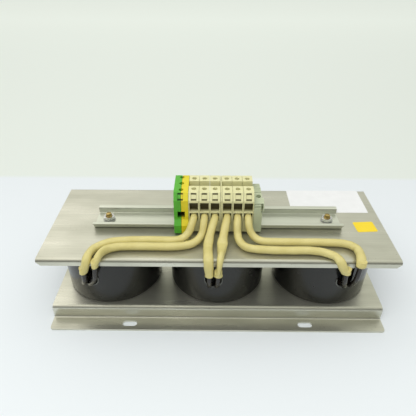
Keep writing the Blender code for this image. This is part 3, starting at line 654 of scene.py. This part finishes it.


# Bead round the lower half of a cup's wire outlet, against the cup's wall: a raised rim that catches real
# highlights, in a grey lighter than the cup that is a painted highlight along the rim
def makeRim(side):
    size = cupShape
    half, bottom = size["outletHalf"], deckTop + size["outletLow"]
    reach = half + 0.4 * size["bead"]
    turn = Matrix.Rotation(radians(size["turn"][side]), 3, "Z")
    centre = Vector((*boltPlaces[side], 0))
    path = []
    for i in range(49):
        angle = pi * (i - 4) / 40
        bent = max(0.0, min(pi, angle))
        across = -reach * cos(bent)
        rise = bottom + half - reach * sin(bent) + 10 * mm * max(0.0, -angle, angle - pi)
        out = cupRadiusAt(rise) + 0.1 * mm
        path.append(centre + turn @ Vector((across, -(out ** 2 - across ** 2) ** 0.5, rise)))
    settle(sweepTube(f"outletBead_{side}", path, 12, size["bead"]), paints["bead"])


def makeCup(side):
    size = cupShape
    low, high = heights(f"cup_{side}")
    inner, outer, wall, widest = boltHole, boltHole + size["tube"], size["wall"], size["highRadius"]
    floorTop = low + size["floor"]
    turns = [pi / 2 * i / 4 for i in range(5)]
    foot = [(size["lowRadius"] - size["footRound"] * (1 - sin(a)), low + size["footRound"] * (1 - cos(a)))
            for a in turns]
    chamfer = size["brimChamfer"]
    profile = [(inner, low)] + foot + [
        (widest - 0.5 * chamfer, high - 0.6 * chamfer), (widest - chamfer, high), (widest - wall, high),
        (cupRadiusAt(floorTop) - wall, floorTop), (outer, floorTop), (outer, high), (inner, high)]
    piece = spinProfile(f"cupDressed_{side}", profile, boltPlaces[side], 128)
    half, bottom = size["outletHalf"], deckTop + size["outletLow"]
    x, y = boltPlaces[side]
    front, back = y - widest - 4 * mm, y - widest + size["outletDeep"]
    arch = [(x - half * cos(pi * i / 20), bottom + half - half * sin(pi * i / 20)) for i in range(21)]
    outline = [(x + half, high + 2 * mm), (x - half, high + 2 * mm)] + arch
    cutter = drawPrism("outlet", [(a, front, b) for a, b in outline], (0, back - front, 0))
    turnMesh(cutter, (x, y), size["turn"][side])
    cutAway(piece, cutter)
    settle(soften(piece, size["edge"], 3, 40), paints["cup"], f"cup_{side}")
    makeRim(side)
    for node, paint in (("potting", "resin"), ("core", "core")):
        twin = copyNode(f"{node}_{side}", f"{node}Dressed_{side}")
        settle(soften(twin, 0.5 * mm, 2, 50), paints[paint], f"{node}_{side}")


# Tube swept along a path, with its own map: u round it and v along it, both in millimetres
def sweepTube(name, path, sides, radius, reshape=None, mouth=None):
    shape = bmesh.new()
    layer = shape.loops.layers.uv.new("sleeveMap")
    rings, lengths = [], [0.0]
    across = Vector((1, 0, 0))
    for i, point in enumerate(path):
        ahead = (path[min(i + 1, len(path) - 1)] - path[max(i - 1, 0)]).normalized()
        across = (across - ahead * across.dot(ahead)).normalized()
        above = across.cross(ahead)
        if i:
            lengths.append(lengths[-1] + (point - path[i - 1]).length)
        ring = []
        for k in range(sides):
            arm = (across * cos(2 * pi * k / sides) + above * sin(2 * pi * k / sides)) * radius
            ring.append(shape.verts.new(point + (reshape(i, arm, ahead) if reshape else arm)))
        rings.append(ring)
    if mouth:                                  # the open end: the wall turns in and runs back up the tube
        wall, depth = mouth
        centre = path[-1]
        back = (path[-2] - path[-1]).normalized()
        for inward, up in ((wall * 0.5, -0.12 * wall), (wall, 0.25 * wall), (wall, depth)):
            ring = []
            for vertex in rings[len(path) - 1]:
                arm = vertex.co - centre
                ring.append(shape.verts.new(centre + arm * (1 - inward / arm.length) + back * up))
            rings.append(ring)
            lengths.append(lengths[-1] + wall)
    around = 2 * pi * radius / sides / mm
    for j, (first, second) in enumerate(zip(rings, rings[1:])):
        for k in range(sides):
            n = (k + 1) % sides
            face = shape.faces.new((first[k], first[n], second[n], second[k]))
            face.smooth = True
            spots = ((k, j), (k + 1, j), (k + 1, j + 1), (k, j + 1))
            for loop, (u, v) in zip(face.loops, spots):
                loop[layer].uv = (u * around, lengths[v] / mm)
    shape.faces.new(list(reversed(rings[0])))
    shape.faces.new(rings[-1])
    bmesh.ops.recalc_face_normals(shape, faces=shape.faces)
    mesh = bpy.data.meshes.new(name)
    shape.to_mesh(mesh)
    shape.free()
    piece = bpy.data.objects.new(name, mesh)
    bpy.context.scene.collection.objects.link(piece)
    return piece


# Smooth curve through a route's points, read at even steps
def smoothPath(route, step):
    points = [Vector(p) for p in route]
    points = [points[0] * 2 - points[1]] + points + [points[-1] * 2 - points[-2]]
    dense = []
    for a, b, c, d in zip(points, points[1:], points[2:], points[3:]):
        for i in range(24):
            t = i / 24
            dense.append(0.5 * ((2 * b) + (c - a) * t + (2 * a - 5 * b + 4 * c - d) * t * t
                                + (3 * b - a - 3 * c + d) * t * t * t))
    dense.append(points[-2])
    lengths = [(q - p).length for p, q in zip(dense, dense[1:])]
    count = max(2, round(sum(lengths) / step))
    even, walked = [dense[0]], 0.0
    for p, q, length in zip(dense, dense[1:], lengths):
        while walked + length >= sum(lengths) * len(even) / count and len(even) < count:
            even.append(p.lerp(q, (sum(lengths) * len(even) / count - walked) / length))
        walked += length
    return even + [dense[-1]]


# Leads, as in the frame, in millimetres: x, distance behind the top plate's front edge and
# height above that plate, from where a sleeve has left its terminal to its lower end. One that lies on the
# plate has its middle 4.2 up.
leadRoutes = {
    "1": [(-25.8, 35.1, 16.4), (-28.6, 31.3, 9.8), (-34.5, 27.5, 5.2), (-44.0, 25.1, 4.2),
          (-66.0, 25.5, 4.2), (-86.0, 24.7, 4.2), (-101.5, 22.5, 4.2), (-111.0, 17.5, 4.2),
          (-117.2, 11.9, 4.3), (-119.8, 3.5, 4.6), (-120.7, -2.5, 3.2), (-122.2, -4.7, -1.6),
          (-124.2, -4.6, -8.0), (-125.1, -4.5, -11.0)],
    "2": [(-14.4, 34.9, 16.2), (-16.0, 29.9, 9.0), (-20.4, 23.9, 5.1), (-28.6, 18.3, 4.2),
          (-43.5, 15.5, 4.2), (-67.2, 15.5, 4.2), (-88.4, 15.2, 4.2), (-99.2, 13.4, 4.2),
          (-106.0, 9.3, 4.3), (-109.6, 3.1, 4.6), (-111.2, -2.5, 3.4), (-112.7, -4.3, 0.6),
          (-113.4, -4.5, -3.0)],
    "3": [(-5.4, 34.0, 16.6), (-8.0, 26.0, 10.6), (-9.6, 18.9, 5.8), (-10.1, 13.1, 4.2), (-9.6, 3.1, 4.6),
          (-9.4, -2.7, 3.2), (-9.1, -4.7, -2.5), (-8.8, -4.6, -9.0), (-8.5, -4.5, -14.0)],
    "4": [(6.9, 34.0, 16.6), (5.0, 26.0, 10.6), (3.8, 18.9, 5.8), (3.2, 12.9, 4.2), (2.2, 3.1, 4.6),
          (1.4, -2.7, 3.2), (0.8, -4.7, -2.5), (0.2, -4.6, -9.0), (-0.1, -4.5, -13.8)],
    "5": [(18.2, 34.7, 16.0), (18.6, 29.5, 8.8), (21.0, 22.3, 5.0), (28.2, 14.5, 4.2), (47.3, 11.5, 4.2),
          (66.0, 11.0, 4.2), (84.0, 11.1, 4.2), (95.4, 9.5, 4.2), (103.4, 5.7, 4.3), (108.0, 1.7, 4.6),
          (110.8, -2.7, 3.2), (113.6, -4.7, -2.0), (116.6, -4.7, -7.0), (118.0, -4.5, -9.6)],
    "6": [(29.3, 35.5, 16.6), (31.2, 31.9, 10.2), (36.4, 27.7, 5.3), (45.4, 24.3, 4.2), (69.0, 23.7, 4.2),
          (98.0, 23.6, 4.2), (116.6, 22.7, 4.2), (126.0, 19.9, 4.2), (130.6, 14.1, 4.2), (131.2, 7.1, 4.3),
          (130.6, 1.7, 4.5), (130.0, -2.7, 3.2), (129.9, -4.5, -1.0)],
}
cupLeads = {"left": ("1", "2"), "middle": ("3", "4"), "right": ("5", "6")}
sleeve = {"radius": 3.9 * mm, "step": 1.0 * mm, "sides": 32, "wall": 0.6 * mm, "mouth": 6.0 * mm,
          "inside": 3.9, "straight": 1.7, "squareEnd": 2.0, "wrinkle": 0.03, "flare": 0.08,
          "flareShare": 0.035, "bendReach": 4, "press": 0.16, "crease": 0.30, "creaseFrom": 0.42,
          "creaseApart": 6, "creaseWidth": 1.6 * mm, "pinched": 0.85, "fullFrom": 0.2,
          # points of the route where the tube is kinked instead of bent
          "kinks": {"1": (8,), "2": (), "3": (3,), "4": (3,), "5": (), "6": (7,)}, "kinkReach": 1.8,
          # how much wider than deep the tube lies, by share of its length
          "flats": {"1": ((0.0, 0.0), (0.3, 0.05), (0.75, 0.05), (0.84, -0.04), (1.0, 0.0)),
                    "2": ((0.0, 0.0), (0.5, 0.04), (0.74, 0.02), (0.86, -0.16), (1.0, -0.2)),
                    "3": ((0.0, 0.0), (0.30, 0.0), (0.42, 0.15), (0.86, 0.15), (1.0, 0.02)),
                    "4": ((0.0, 0.0), (0.34, 0.05), (0.45, 0.28), (0.56, 0.10), (0.70, -0.2), (0.92, -0.42),
                          (0.97, -0.1), (1.0, 0.02)),
                    "5": ((0.0, 0.0), (0.5, 0.0), (0.85, 0.06), (1.0, 0.10)),
                    "6": ((0.0, 0.0), (0.5, 0.0), (0.80, 0.10), (0.9, 0.12), (1.0, 0.12))}}


def readTable(table, share):
    for (low, first), (high, second) in zip(table, table[1:]):
        if share <= high:
            t = (share - low) / (high - low)
            return first + (second - first) * t * t * (3 - 2 * t)
    return table[-1][1]


def leadPoint(point):
    x, behind, height = point
    return Vector((x * mm, frontEdge + behind * mm, plateTop + height * mm))


def makeSleeve(number):
    size = sleeve
    low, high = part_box(f"terminal_{number}")
    start, level = (low.x + high.x) / 2, plateTop + sum(terminal["entry"]) / 2
    route = [Vector((start, low.y + out * mm, level)) for out in (size["inside"], -size["straight"])]
    route += [leadPoint(p) for p in leadRoutes[number]]
    for i in reversed(size["kinks"][number]):
        corner, reach = route[i + 2], size["kinkReach"] * mm
        route[i + 2:i + 3] = [corner + (route[j] - corner).normalized() * reach for j in (i + 1, i + 3)]
    route.insert(-1, route[-1] + Vector((0, 0, size["squareEnd"] * mm)))
    path = smoothPath(route, size["step"])
    count = len(path) - 1
    seed = Vector((7.3 * int(number), 0, 0))       # another part of the noise for each lead
    bends = []
    for i, here in enumerate(path):
        come = (here - path[max(i - size["bendReach"], 0)]).normalized()
        leave = (path[min(i + size["bendReach"], count)] - here).normalized()
        bends.append(leave - come)
    sharp = [b.length for b in bends]
    apart = size["creaseApart"]
    creases = [i for i in range(apart, count - apart)
               if sharp[i] > size["creaseFrom"] and sharp[i] == max(sharp[i - apart:i + apart + 1])]
    table = size["flats"][number]

    def reshape(i, arm, ahead):
        share = i / count
        place = seed + Vector((arm.x, arm.y, arm.z)) / (5 * mm) + Vector((0, 0, i * size["step"] / (6 * mm)))
        arm = arm * (1 + size["wrinkle"] * (1 + 2 * sharp[i]) * noise.noise(place))
        arm = arm * min(1.0, size["pinched"] + (1 - size["pinched"]) * share / size["fullFrom"])
        inward = bends[i] - ahead * bends[i].dot(ahead)
        if inward.length > 0.02:                       # pressed flat across the bend, wider beside it
            press = size["press"] * min(inward.length, 0.8)
            inward.normalize()
            arm = arm * (1 + 0.5 * press) - inward * arm.dot(inward) * 1.5 * press
            for peak in creases:                       # the inner side folds in where the tube kinks
                near = ((i - peak) * size["step"] / size["creaseWidth"]) ** 2
                facing = max(0.0, arm.normalized().dot(inward))
                fold = size["crease"] * min(1.0, sharp[peak]) * facing * facing
                arm = arm * (1 - fold * (1.2 * exp(-near) - 0.35 * exp(-near / 6)))
        wide = Vector((1, 0, 0)) - ahead * ahead.x
        flat = readTable(table, share) * max(0.0, min(1.0, (wide.length - 0.3) / 0.4))
        if abs(flat) > 0.001:
            wide.normalize()
            deep = ahead.cross(wide)
            arm = arm + wide * arm.dot(wide) * flat - deep * arm.dot(deep) * flat
        return arm * (1 + size["flare"] * max(0.0, 1 - (1 - share) / size["flareShare"]) ** 2)

    mouth = (size["wall"], size["mouth"])
    piece = sweepTube(f"sleeve_{number}", path, size["sides"], size["radius"], reshape, mouth)
    settle(piece, paints["sleeve"], f"lead_{number}")


wire = {"radius": 2.5 * mm, "turns": 16, "step": 19.5, "coreIn": 20.0, "coreOut": 37.0, "coreLow": 28.5,
        "coreHigh": 68.5, "gap": 0.3, "bend": 3.0, "sides": 14}


# Coil: one wire wound round the ring core, with both ends led up into the sleeves
def makeWinding(side):
    size = wire
    radius = size["radius"] / mm
    gap = size["gap"]
    outer, inner = size["coreOut"] + gap + radius, size["coreIn"] - gap - radius
    low, high = size["coreLow"] - gap - radius, size["coreHigh"] + gap + radius
    outletZ = (deckTop + cupShape["outletLow"]) / mm + 2 * radius + gap
    spread = radius + 1.0
    first = (360.0 - size["turns"] * size["step"]) / 2
    centreX, centreY = boltPlaces[side]

    def at(reach, angle, z, sideways=0.0):
        heading = radians(-90.0 + cupShape["turn"][side] + angle)
        return (centreX / mm + reach * cos(heading) - sideways * sin(heading),
                centreY / mm + reach * sin(heading) + sideways * cos(heading), z)

    def tail(number, hand):
        x, y, brim = leadPoint(leadRoutes[number][-1]) / mm
        end = brim + sleeve["mouth"] / mm - 1.5
        outX, outY, outZ = at(cupShape["highRadius"] / mm + 4.0, 0.0, outletZ + 1.4, hand * spread)
        return [(x, y, end), (x, y, brim - 0.5),
                (x * 0.7 + outX * 0.3, y * 0.75 + outY * 0.25, brim - 0.55 * (brim - outZ)),
                (outX, outY, outZ),
                at(cupRadiusAt(outletZ * mm) / mm - 1.2, 0.0, outletZ, hand * spread),
                at(size["coreOut"] + 6.6, hand * 8.0, outletZ - 0.8)]

    leftEnd, rightEnd = cupLeads[side]
    path = tail(rightEnd, 1)
    path += [at(outer + 0.8, first - 5.5, outletZ - 4.2), at(outer, first, outletZ - 9.0)]
    bend = size["bend"]
    for i in range(size["turns"]):
        angle = first + i * size["step"]
        if i:
            path.append(at(outer, angle, high - bend))
        path.append(at(outer, angle, low + bend))
        path += [at(reach, angle + share * size["step"], z) for reach, share, z in (
            (outer - bend, 0.1, low), (inner + bend, 0.4, low), (inner, 0.5, low + bend),
            (inner, 0.5, high - bend), (inner + bend, 0.6, high), (outer - bend, 0.9, high))]
    path += [at(outer, -first, high - bend), at(outer, -first, outletZ + 5.0),
             at(outer + 0.8, -first + 5.5, outletZ + 1.6)]
    path += tail(leftEnd, -1)[::-1]
    smooth = smoothPath([metres(p) for p in path], 2.2 * mm)
    piece = sweepTube(f"coil_{side}", smooth, size["sides"], size["radius"])
    settle(piece, paints["copper"], f"winding_{side}")


# Fasteners
onAxis = 0.05 * mm               # where a spun profile starts and ends, so that it leaves no pinched faces
bolt = {"radius": 3.0 * mm, "pitch": 1.0 * mm, "depth": 0.5 * mm, "hexHalf": 5.0 * mm, "chamfer": 0.7 * mm,
        "head": 4.0 * mm, "bore": 3.3 * mm, "washer": 6.2 * mm, "teeth": 14,
        "nutTurn": {"left": 12, "middle": 0, "right": 0}}


def addHex(name, place, low, high):
    reach, chamfer = bolt["hexHalf"], bolt["chamfer"] * 0.55
    corner = reach / cos(pi / 6)
    piece = addRod(name, corner, place, low, high, 6)
    past = corner + 0.3 * mm
    profile = [(0.2 * mm, low), (reach, low), (past, low + chamfer), (past, high - chamfer), (reach, high),
               (0.2 * mm, high)]
    return cutAway(piece, spinProfile("chamfer", profile, place, 64), operation="INTERSECT")


def makeBolt(side):
    place, pitch = boltPlaces[side], bolt["pitch"]
    low, tip = heights(f"centre_bolt_{side}")
    headTop = low + bolt["head"]
    radius, core = bolt["radius"], bolt["radius"] - bolt["depth"]
    threadLow = heights("din_rail")[0]
    profile = [(onAxis, headTop - 0.5 * mm), (radius, headTop - 0.5 * mm), (radius, threadLow)]
    for i in range(int((tip - 0.8 * mm - threadLow) / pitch)):
        z = threadLow + i * pitch
        profile += [(core, z + 0.45 * pitch), (radius, z + 0.9 * pitch), (radius, z + pitch)]
    profile += [(core, tip), (onAxis, tip)]
    shank = spinProfile("shank", profile, place, 40)
    head = addHex(f"boltDressed_{side}", place, low, headTop)
    cutAway(head, shank, operation="UNION")
    settle(soften(head, 0.08 * mm, 1, 40), paints["brass"], f"centre_bolt_{side}")


def makeNut(side):
    low, high = heights(f"nut_{side}")
    place = boltPlaces[side]
    piece = addHex(f"nutDressed_{side}", place, low, high)
    bore = bolt["bore"]
    profile = [(onAxis, low - mm), (bore + 1.4 * mm, low - mm), (bore, low + 0.4 * mm),
               (bore, high - 0.4 * mm), (bore + 1.4 * mm, high + mm), (onAxis, high + mm)]
    cutAway(piece, spinProfile("bore", profile, place, 48))
    turnMesh(piece, place, bolt["nutTurn"][side])
    settle(soften(piece, 0.2 * mm, 2, 30), paints["zinc"], f"nut_{side}")


# Lock washer with teeth round its edge
def makeWasher(side):
    low, high = heights(f"washer_{side}")
    bore, reach = bolt["bore"], bolt["washer"]
    x, y = boltPlaces[side]
    profile = [(bore, low), (reach, low), (reach, high), (bore, high)]
    piece = spinProfile(f"washerDressed_{side}", profile, (x, y), 84)
    for i in range(bolt["teeth"]):
        notch = addBlock("notch", (x + reach - 1.5 * mm, y - 0.45 * mm, low - mm),
                         (x + reach + mm, y + 0.45 * mm, high + mm))
        turnMesh(notch, (x, y), 360 * i / bolt["teeth"])
        cutAway(piece, notch)
    settle(soften(piece, 0.12 * mm, 2, 40), paints["zinc"], f"washer_{side}")


# Rail terminals
def footOutline(reach):
    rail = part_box("din_rail")[1]
    seat, edge = rail.z + clearance, rail.y + clearance
    under, low, grip = rail.z - 1.3 * mm, plateTop + terminal["footLow"], edge - terminal["hook"]
    return [(0.0, seat), (edge, seat), (edge, under), (grip, under), (grip, under - 2 * mm),
            (edge + 0.4 * mm, low), (reach - mm, low), (reach, low + mm)]


def shoulderOutline(half, top):
    flat, foot = terminal["plateau"], top - terminal["drop"]
    return [(half, foot), (half - 0.25 * mm, foot + 0.75 * mm), (half - 0.75 * mm, foot + 1.35 * mm),
            (flat + 0.9 * mm, top - 0.75 * mm), (flat + 0.35 * mm, top - 0.2 * mm), (flat - 0.3 * mm, top)]


def bothSides(half):
    return half + [(-y, z) for y, z in reversed(half) if abs(y) > 0.001 * mm]


# Cutter that lies on the sloping shoulder at a share of the way down it
def addShoulderCutter(name, x, halfWidth, side, half, top, share, height, depth):
    start, end = Vector((terminal["plateau"], top)), Vector((half, top - terminal["drop"]))
    middle = start.lerp(end, share)
    block = addBlock(name, (x - halfWidth, -height / 2, -depth), (x + halfWidth, height / 2, depth))
    block.data.transform(Matrix.Rotation(atan2(end.y - start.y, end.x - start.x), 4, "X"))
    block.data.transform(Matrix.Translation((0, middle.x, middle.y)))
    if side < 0:
        turnMesh(block, (x, 0), 180)
    return block


def markerCutters(x, side, half, top):
    size = terminal
    low, high = size["markerSlots"]
    run = (high - low) * Vector((half - size["plateau"], size["drop"])).length
    thin = 0.2 * mm
    cutters = [addShoulderCutter("markerSlot", x, size["marker"], side, half, top, share, size["slotHeight"],
                                 size["slotDepth"]) for share in (low, high)]
    return cutters + [addShoulderCutter("markerSide", x + edge, thin, side, half, top, 0.5, run, 0.35 * mm)
                      for edge in (thin - size["marker"], size["marker"] - thin)]


def makeTerminals():
    size = terminal
    low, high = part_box("terminal_1")
    x, half, top = (low.x + high.x) / 2, high.y, high.z
    groove, depth = size["groove"]
    outline = bothSides(footOutline(half) + shoulderOutline(half, top)
                        + [(groove, top), (groove, top - depth)])
    housing = drawBar("terminalHousing_1", outline, low.x, high.x)
    pocket = size["pocket"]
    entryLow, entryHigh = (plateTop + z for z in size["entry"])
    windowLow, windowHigh = (plateTop + z for z in size["window"])
    front, deep = half + mm, half - size["windowDepth"]
    wedge = [(front, windowLow), (half, windowLow), (deep, windowLow + 0.5 * mm), (deep, windowHigh),
             (front, windowHigh)]
    cutters = []
    for side in (-1, 1):
        ends = sorted((side * front, side * (half - size["entryDepth"])))
        cutters.append(addBlock("entry", (x - pocket, ends[0], entryLow), (x + pocket, ends[1], entryHigh)))
        cutters.append(drawBar("window", [(side * y, z) for y, z in wedge], x - pocket, x + pocket))
        place = (x, side * size["screwY"])
        cutters.append(addRod("well", size["screwHole"], place, entryHigh - mm, top + mm))
        cutters += markerCutters(x, side, half, top)
    cutAway(housing, *cutters)
    bar = copyNode("current_bar_1", "currentBar_1")
    firsts = [("terminalHousing", soften(housing, size["edge"], 2, 25), "beige", "terminal"),
              ("currentBar", soften(bar, 0.2 * mm, 2, 40), "zinc", "current_bar")]
    for end in ("front", "back"):
        name, node = f"clampScrew_{end}", f"clamp_screw_{end}"
        firsts.append((name, makeScrew(f"{name}_1", f"{node}_1"), "screw", node))
    for name, first, paint, node in firsts:
        for number in range(2, 7):
            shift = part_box(f"terminal_{number}")[0].x - low.x
            settle(copyPiece(first, f"{name}_{number}", shift), paints[paint], f"{node}_{number}")
        settle(first, paints[paint], f"{node}_1")


# Cheese-head clamping screw with a slot
def makeScrew(name, node):
    low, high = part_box(node)
    x, y, radius = (low.x + high.x) / 2, (low.y + high.y) / 2, (high.x - low.x) / 2
    profile = [(onAxis, low.z), (radius * 0.72, low.z), (radius * 0.8, low.z + 0.5 * mm),
               (radius * 0.8, high.z - 3.2 * mm), (radius, high.z - 2.8 * mm), (radius, high.z),
               (onAxis, high.z)]
    piece = spinProfile(name, profile, (x, y), 40)
    groove = addBlock("slot", (x - radius - mm, y - 0.35 * mm, high.z - 1.1 * mm),
                      (x + radius + mm, y + 0.35 * mm, high.z + mm))
    return soften(cutAway(piece, groove), 0.12 * mm, 2, 40)


def makePartition():
    low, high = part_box("partition_plate")
    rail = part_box("din_rail")[1]
    seat, edge = rail.z + clearance, rail.y + clearance
    outline = bothSides([(0.0, seat), (edge, seat), (edge, low.z), (high.y, low.z)]
                        + shoulderOutline(high.y, high.z) + [(0.0, high.z)])
    piece = drawBar("partition", outline, low.x, high.x)
    settle(soften(piece, 0.2 * mm, 2, 25), paints["beige"], "partition_plate")


bracket = {"step": 1.5 * mm, "stepTop": 26.5 * mm, "screwY": -9.0 * mm, "line": 0.8 * mm, "ribs": 5,
           # front and top of its outline: in from the front face, down from the top, in millimetres
           "crown": ((0.0, 13.5), (0.3, 9.0), (1.3, 4.4), (3.3, 2.4), (6.5, 1.7))}


def makeEndBracket():
    size = bracket
    low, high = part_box("end_bracket")
    half, top, middle, line = high.y, high.z, (low.x + high.x) / 2, size["line"]
    crown = [(half - inward * mm, top - down * mm) for inward, down in size["crown"]]
    outline = bothSides(footOutline(half) + crown + [(6.0 * mm, top), (0.0, top)])
    piece = drawBar("endBracket", outline, low.x, high.x)
    front, over, right, left = -half - mm, top + mm, high.x + mm, low.x + 0.6 * mm
    upper, lower = top - 3.9 * mm, top - 6.2 * mm
    boxes = {
        "step": ((high.x - size["step"], front, low.z - mm), (right, half + mm, plateTop + size["stepTop"])),
        "side": ((high.x - 1.6 * mm, -11.5 * mm, top - 12 * mm), (right, half + mm, over)),
        "lineAcross": ((left, front, upper), (high.x - 0.5 * mm, 7.0 * mm - half, upper + line)),
        "lineUnder": ((left, front, lower), (high.x - 2.8 * mm, 4.0 * mm - half, lower + line)),
        "lineDown": ((high.x - 2.9 * mm, front, top - 12.6 * mm),
                     (high.x - 0.9 * mm, 5.0 * mm - half, upper)),
        "notch": ((low.x - mm, -3.2 * mm, top - 1.8 * mm), (right, -2.3 * mm, over)),
    }
    cutters = [addRod("well", terminal["screwHole"], (middle, size["screwY"]), top - 16 * mm, over)]
    cutters += [addBlock(name, *ends) for name, ends in boxes.items()]
    for i in range(size["ribs"]):
        x, rib = low.x + (high.x - 1.6 * mm - low.x) * (i + 1) / (size["ribs"] + 1), 0.3 * mm
        cutters.append(addBlock("rib", (x - rib, -1.4 * mm, top - 0.5 * mm), (x + rib, 5.6 * mm, over)))
    cutAway(piece, *cutters)
    settle(soften(piece, 0.25 * mm, 2, 25), paints["grey"], "end_bracket")
    settle(makeScrew("bracketScrew", "bracket_screw"), paints["screw"], "bracket_screw")


earth = {"ledge": 17.0 * mm, "ledgeDrop": 5.4 * mm, "entry": (18.5 * mm, 26.1 * mm), "entryHalf": 3.6 * mm,
         "screwYs": (-12.0 * mm, 0.0, 12.0 * mm)}


def makeEarthTerminal():
    size = earth
    greenBox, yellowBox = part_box("earth_shell_green"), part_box("earth_shell_yellow")
    middle = (greenBox[1].x + yellowBox[0].x) / 2
    top, half, reach = greenBox[1].z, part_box("terminal_1")[1].y, greenBox[1].y
    ledge = plateTop + size["ledge"]
    entryLow, entryHigh = (plateTop + z for z in size["entry"])
    outline = bothSides(footOutline(reach) + [(reach, ledge - size["ledgeDrop"]), (half, ledge)]
                        + shoulderOutline(half, top) + [(0.0, top)])
    low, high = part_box("earth_clamp")
    play = Vector((clearance, clearance, 0))
    boxes = {
        "room": (low - play - Vector((0, 0, mm)), (*(high + play)[:2], low.z + 3 * mm + clearance)),
        "post": ((middle - 2.6 * mm, -4.8 * mm, low.z + 2 * mm),
                 (middle + 2.6 * mm, 4.8 * mm, high.z + clearance)),
        "entries": ((middle - size["entryHalf"], -reach - mm, entryLow),
                    (middle + size["entryHalf"], reach + mm, entryHigh)),
    }
    for colour, box in (("green", greenBox), ("yellow", yellowBox)):
        piece = drawBar(f"earthShell{colour.title()}", outline, box[0].x, box[1].x)
        cutters = [addBlock(name, *ends) for name, ends in boxes.items()]
        cutters += [addRod("well", terminal["screwHole"], (middle, y), entryHigh - mm, top + mm)
                    for y in size["screwYs"]]
        for side in (-1, 1):
            cutters += markerCutters(middle - 0.6 * mm, side, half, top)
        cutAway(piece, *cutters)
        settle(soften(piece, terminal["edge"], 2, 25), paints[colour], f"earth_shell_{colour}")
    settle(soften(copyNode("earth_clamp", "earthClamp"), 0.25 * mm), paints["zinc"], "earth_clamp")


# Blank label and plain patch
label = {"low": (80.0, 17.0), "high": (162.0, 62.0), "thick": 0.15, "corner": 1.0}
patch = {"middle": (151.0, -8.5), "half": (10.5, 8.5), "turn": 4.0, "thick": 0.15, "corner": 1.5}


def roundPlate(name, low, high, thick, corner):
    piece = addBlock(name, metres((*low, plateTop / mm + 0.01)), metres((*high, plateTop / mm + thick)))
    editMode(piece, "EDGE")
    selectWhere(piece, "EDGE", lambda e: abs(e.verts[0].co.z - e.verts[1].co.z) > 0.05 * mm)
    bpy.ops.mesh.bevel(offset=corner * mm, segments=5, affect="EDGES")
    deselectAll()
    return piece


def makeLabels():
    piece = roundPlate("blankLabel", label["low"], label["high"], label["thick"], label["corner"])
    settle(piece, paints["paper"])
    (x, y), (halfX, halfY) = patch["middle"], patch["half"]
    low, high = (x - halfX, y - halfY), (x + halfX, y + halfY)
    piece = roundPlate("plainPatch", low, high, patch["thick"], patch["corner"])
    turnMesh(piece, (x * mm, y * mm), patch["turn"])
    settle(piece, paints["patch"])


makeBasePlate()
makeTopPlate()
makeRail()
print("sheet parts")
for side in sides:
    makeCup(side)
    makeWinding(side)
    makeBolt(side)
    makeNut(side)
for side in ("left", "right"):
    makeWasher(side)
print("cups, coils and bolts")
makeTerminals()
makePartition()
makeEndBracket()
makeEarthTerminal()
print("rail terminals")
for number in leadRoutes:
    makeSleeve(number)
makeLabels()
print("leads and labels")
